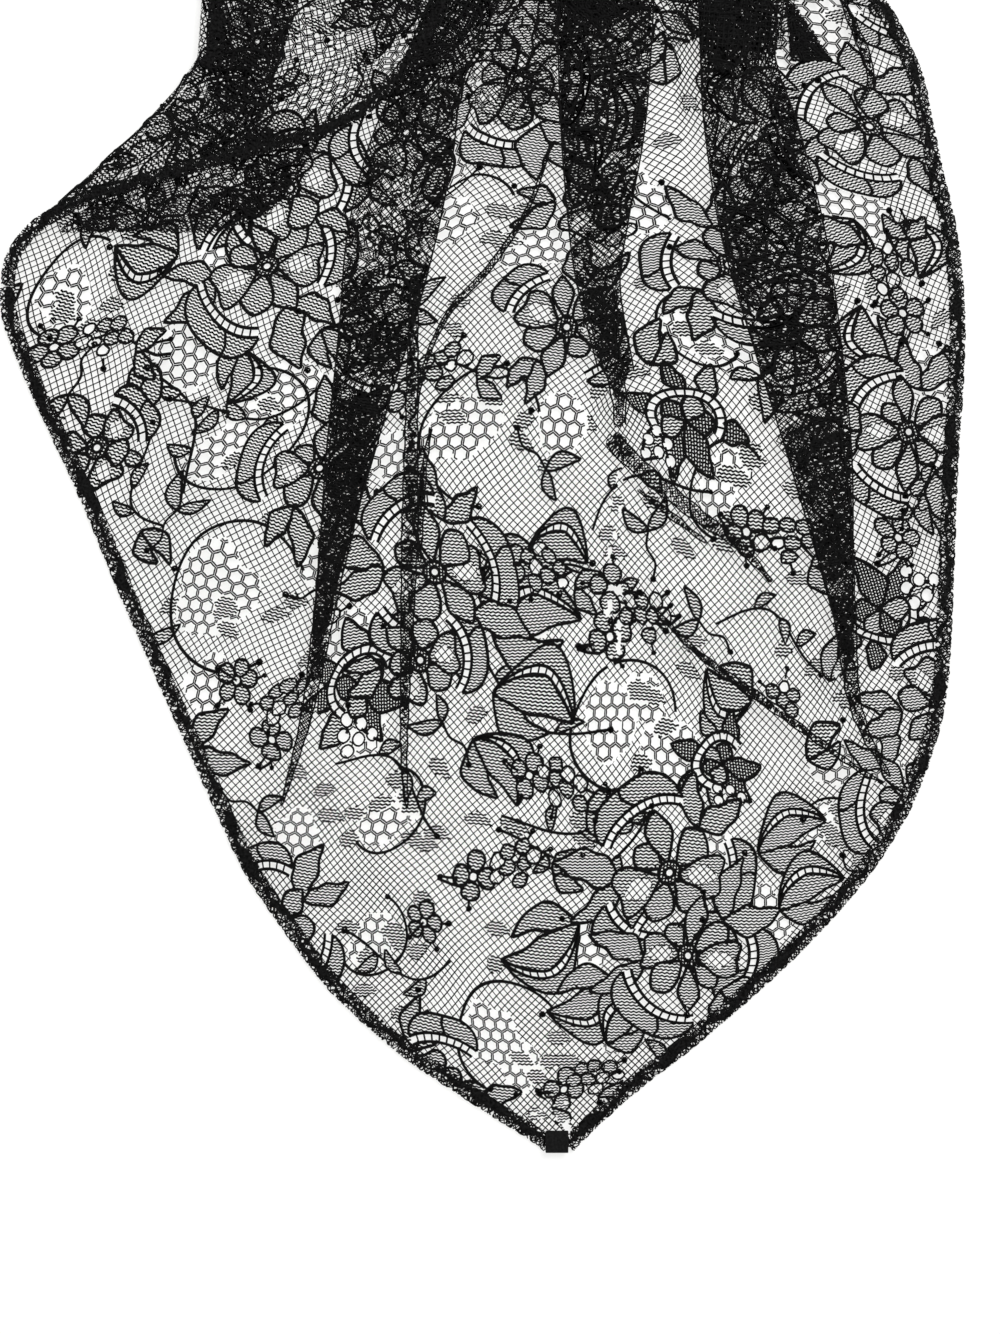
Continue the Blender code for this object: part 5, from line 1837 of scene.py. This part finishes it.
def make_hems(material):
    """All hems: two lower sides, the folded end's edge and the long edge on it."""
    inset = HEM_WIDTH / 2
    left = side_path("left", 0.0, HEM_TURN + 9.0, -inset)
    left = left[(left[:, 1] > HEM_FOOT) & (left[:, 1] < HEM_TURN + 4.0)]
    right = side_path("right", 0.0, 336.0, inset)
    right = right[(right[:, 1] > HEM_FOOT) & (right[:, 1] < PANEL_TOP - 1.8)]
    end = curve_through(LEFT_END_EDGE, HEM_STEP)
    run = np.arange(len(end)) * HEM_STEP
    end_levels = left_end_level(end[:, 0], end[:, 1]) * smooth(run / 22.0)
    heights = np.arange(SIDE_HEM_START, TUCK_END, HEM_STEP)
    side = np.column_stack([at_height(OUTLINE, heights, "left") + SIDE_HEM_INSET, heights])
    side_levels = left_end_level(side[:, 0], side[:, 1]) + WALL + GAP
    hems = (
        ("hem_left", make_hem("hem_left_cloth", left, 0.0, 1, (-0.42, 0.36), fringe=0.06)),
        ("hem_right", make_hem("hem_right_cloth", right, 0.0, -1, (-0.42, 0.40), fringe=0.06)),
        ("hem_left_end", make_hem("hem_left_end_cloth", end, end_levels, 1, (-0.2, 0.3), 3.9, 1.2)),
        ("hem_left_side", make_hem("hem_left_side_cloth", side, side_levels, 1, (-0.5, 0.5), 5.0, 0.9)),
    )
    for node_name, items in hems:
        for item in items:
            item.data.materials.append(material["hem"])
        finish_piece(items, "hem", node_name)
    return [items for _, items in hems]


# ---- neck, knot and tails ----
def make_base(stretch, name, drop, material):
    """Dark body of the many layers under a stretch's outer surface, flat where it rests."""
    top = stretch.places.copy()
    top[:, :, 2] = np.maximum(top[:, :, 2] - drop, 0.3)
    under = top.copy()
    under[:, :, 2] = 0.0
    rows, columns = top.shape[:2]
    index = np.arange(rows * columns).reshape(rows, columns)
    other = index + rows * columns
    faces = [np.stack(corners, axis=-1).reshape(-1, 4) for corners in (
        (index[:-1, :-1], index[:-1, 1:], index[1:, 1:], index[1:, :-1]),
        (other[:-1, :-1], other[1:, :-1], other[1:, 1:], other[:-1, 1:]))]
    for a, b in ((index[0], other[0]), (index[:, -1], other[:, -1]),
                 (index[-1, ::-1], other[-1, ::-1]), (index[::-1, 0], other[::-1, 0])):
        faces.append(np.stack([a[:-1], b[:-1], b[1:], a[1:]], axis=1))
    item = new_mesh(name, placed(np.vstack([top.reshape(-1, 3), under.reshape(-1, 3)])), np.vstack(faces))
    item.data.materials.append(material)
    return item


def make_knot_stretch():
    """Outer surface of the knot: one end wraps over the other in soft folds."""
    rows, columns = 40, 110
    polar = np.radians(np.linspace(0.6, 100, rows))[:, None]
    around = np.linspace(0, 2 * np.pi, columns)[None, :]
    x = np.sin(polar) * np.cos(around)
    y = np.sin(polar) * np.sin(around)
    z = np.cos(polar) + 0 * around
    band = np.exp(-((x * 0.9 - y * 0.45) / 0.34) ** 2)
    swell = 1.0 + 0.06 * np.cos(3 * around + 0.6) + 0.10 * band
    folds = 0.035 * np.sin(16 * (x * 0.5 + y * 0.9) + 2.0 * band)
    folds = folds + 0.03 * np.sin(30 * (x * 0.9 - y * 0.45)) * band
    swell = swell + folds
    places = np.stack([
        KNOT[0] + x * KNOT_SIZE[0] / 2 * swell,
        KNOT[1] + y * KNOT_SIZE[1] / 2 * swell,
        np.maximum(KNOT_SIZE[2] / 2 * (1 + z * (1.0 + 0.08 * band + folds)), 0.4),
    ], axis=-1)
    grid_p, grid_q = np.meshgrid(np.linspace(0, 200, columns), np.linspace(0, 46, rows))
    cloth = np.stack([grid_p - 90.0, 150.0 - grid_q], axis=-1)
    return Stretch("knot", places[::-1], cloth[::-1], np.ones(places.shape[:2], bool))


def make_tail_stretch(name, side, slant, window):
    """One end of the triangle beyond the knot."""
    angle = math.radians(90.0 - side * slant)
    ahead = np.array([math.cos(angle), math.sin(angle)])
    aside = np.array([-ahead[1], ahead[0]])
    start = np.array(KNOT) + ahead * (KNOT_SIZE[0] / 2 + TAIL_CLEAR[0], KNOT_SIZE[1] / 2 + TAIL_CLEAR[1])
    share = np.linspace(-0.04, 1, 64)[:, None]
    place = np.linspace(-1, 1, 34)[None, :]
    spread = np.where(share > TAIL_WIDEST,
                      1.0 - (1.0 - TAIL_POINT) * (share - TAIL_WIDEST) / (1.0 - TAIL_WIDEST),
                      smooth(share / TAIL_WIDEST))
    half = TAIL_ROOT * (1 - share) + TAIL_HALF * spread
    bend = TAIL_BEND * side * share * share
    fold = TAIL_FOLD * np.cos(place * np.pi * 1.5) ** 2 * (1 - 0.7 * share)
    level = (TAIL_THICK + fold) * (1 - 0.7 * np.abs(place) ** 3) - 0.4
    out = bend + half * place
    places = np.stack([start[0] + ahead[0] * TAIL_LENGTH * share + aside[0] * out,
                       start[1] + ahead[1] * TAIL_LENGTH * share + aside[1] * out,
                       level + 0 * share], axis=-1)
    cloth = np.stack([-(half * place * (1.6 - 0.4 * share)) + window[0],
                      TAIL_LENGTH * share + window[1] + 0 * place], axis=-1)
    return Stretch(name, places[:, ::-1], cloth[:, ::-1], np.ones(places.shape[:2], bool))


def make_top(design, material):
    """Everything above the pleats: the gathered neck, the knot and the two ends."""
    for stretch, node_name, drop, look, rests_on in (
        (make_neck_stretch(), "gathered_neck", 0.5, "neck", "panel_net"),
        (make_knot_stretch(), "knot", 0.35, "gathered", "neck_net"),
    ):
        body = make_base(stretch, stretch.name + "_layers", drop, material[look])
        finish_piece([body], "lace", node_name)
        items = dress(stretch, design, material, 0.3)
        finish_piece(items, "lace")
        declare_sheet(items[0], stretch, "gathered", [body, *items[1:]])
    for name, side, slant, window in TAILS:
        tail = make_tail_stretch(name, side, slant, window)
        items = dress(tail, design, material)
        finish_piece(items, "lace", name)
        edges = []
        for number, (column_index, outside) in enumerate(((0, 1), (-1, -1))):
            path = even(tail.places[:, column_index, :2], HEM_STEP)
            edges += make_hem(f"{name}_hem_{number}", path, 0.1, outside, (-0.5, 0.3), 3.0, 1.0, 0.1)
        for item in edges:
            item.data.materials.append(material["hem"])
        finish_piece(edges, "hem")
        declare_sheet(items[0], tail, "laid", items[1:] + edges)


# ---- stage ----
def make_stage():
    bpy.ops.mesh.primitive_plane_add(size=6.0, location=(0, 0, -0.0001))
    floor = bpy.context.object
    floor.name = "floor"
    material = bpy.data.materials.new("pale_floor")
    material.use_nodes = True
    shader = material.node_tree.nodes["Principled BSDF"]
    shader.inputs["Base Color"].default_value = (0.22, 0.22, 0.22, 1.0)
    shader.inputs["Emission Color"].default_value = (1.0, 1.0, 0.985, 1.0)
    shader.inputs["Emission Strength"].default_value = 0.69
    shader.inputs["Roughness"].default_value = 0.9
    shader.inputs["Specular IOR Level"].default_value = 0.1
    floor.data.materials.append(material)

    world = bpy.data.worlds.new("studio")
    bpy.context.scene.world = world
    world.use_nodes = True
    world.node_tree.nodes["Background"].inputs["Color"].default_value = (1.0, 1.0, 1.0, 1.0)
    world.node_tree.nodes["Background"].inputs["Strength"].default_value = 0.68

    for name, place, power, size in (
        ("key", (0.55, 0.65, 1.1), 24.0, 0.8),
        ("fill", (-0.8, -0.3, 1.2), 8.0, 1.2),
    ):
        lamp = bpy.data.lights.new(name, "AREA")
        lamp.energy = power
        lamp.size = size
        item = bpy.data.objects.new(name, lamp)
        item.location = place
        item.rotation_euler = (-np.array(place)).tolist()
        bpy.context.scene.collection.objects.link(item)
        track = item.constraints.new("TRACK_TO")
        track.target = floor
        track.track_axis = "TRACK_NEGATIVE_Z"
        track.up_axis = "UP_Y"
    bpy.context.scene.view_settings.view_transform = "Standard"


def make_camera():
    """Straight above the middle of the photographed stretch."""
    data = bpy.data.cameras.new("camera")
    data.lens = 85.0
    data.sensor_width = 36.0
    data.clip_end = 20.0
    camera = bpy.data.objects.new("camera", data)
    away = PHOTO_TALL * data.lens / data.sensor_width
    camera.location = placed([(*PHOTO_MIDDLE, away)])[0].tolist()
    bpy.context.scene.collection.objects.link(camera)
    bpy.context.scene.camera = camera


def make_materials():
    return {
        "net": net_material(),
        "thread": black_thread("clothwork_thread", 0.002, 0.008, 0.8, 1200.0, 0.0),
        "cord": black_thread("outline_cord", 0.0012, 0.006, 0.7, 2600.0, 0.00006),
        "hem": black_thread("hem_cotton", 0.0012, 0.008, 0.85, 1500.0, 0.0003),
        "gathered": black_thread("gathered_lace", 0.002, 0.012, 0.9, 900.0, 0.0004),
        "neck": gathered_material(),
        "tab": black_thread("tab_satin", 0.003, 0.008, 0.6, 1800.0, 0.00008),
    }


def main():
    material = make_materials()
    panel = make_panel_stretch()
    design = make_design(panel)
    made = dress(panel, design, material)
    finish_piece(made, "lace", "cloth_panel")
    left_end = make_flap_stretch()
    flap = dress(left_end, design, material)
    finish_piece(flap, "lace", "left_end")
    hems = make_hems(material)
    declare_sheet(made[0], panel, "folded", made[1:] + hems[0] + hems[1])
    declare_sheet(flap[0], left_end, "folded", flap[1:] + hems[2] + hems[3])
    for stretches, node_name in (
        (make_tuck_stretches(), "left_tuck"),
        (make_right_end_stretches(), "right_end"),
        (make_gathers(), None),
    ):
        for number, stretch in enumerate(stretches):
            items = dress(stretch, design, material)
            finish_piece(items, "lace", *([node_name] if number == 0 and node_name else []))
            declare_sheet(items[0], stretch, "folded", items[1:])
    make_creases(panel, design, material)
    make_top(design, material)
    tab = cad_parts["tip_tab"]
    tab.data.materials.clear()
    tab.data.materials.append(material["tab"])
    make_stage()
    make_camera()


main()
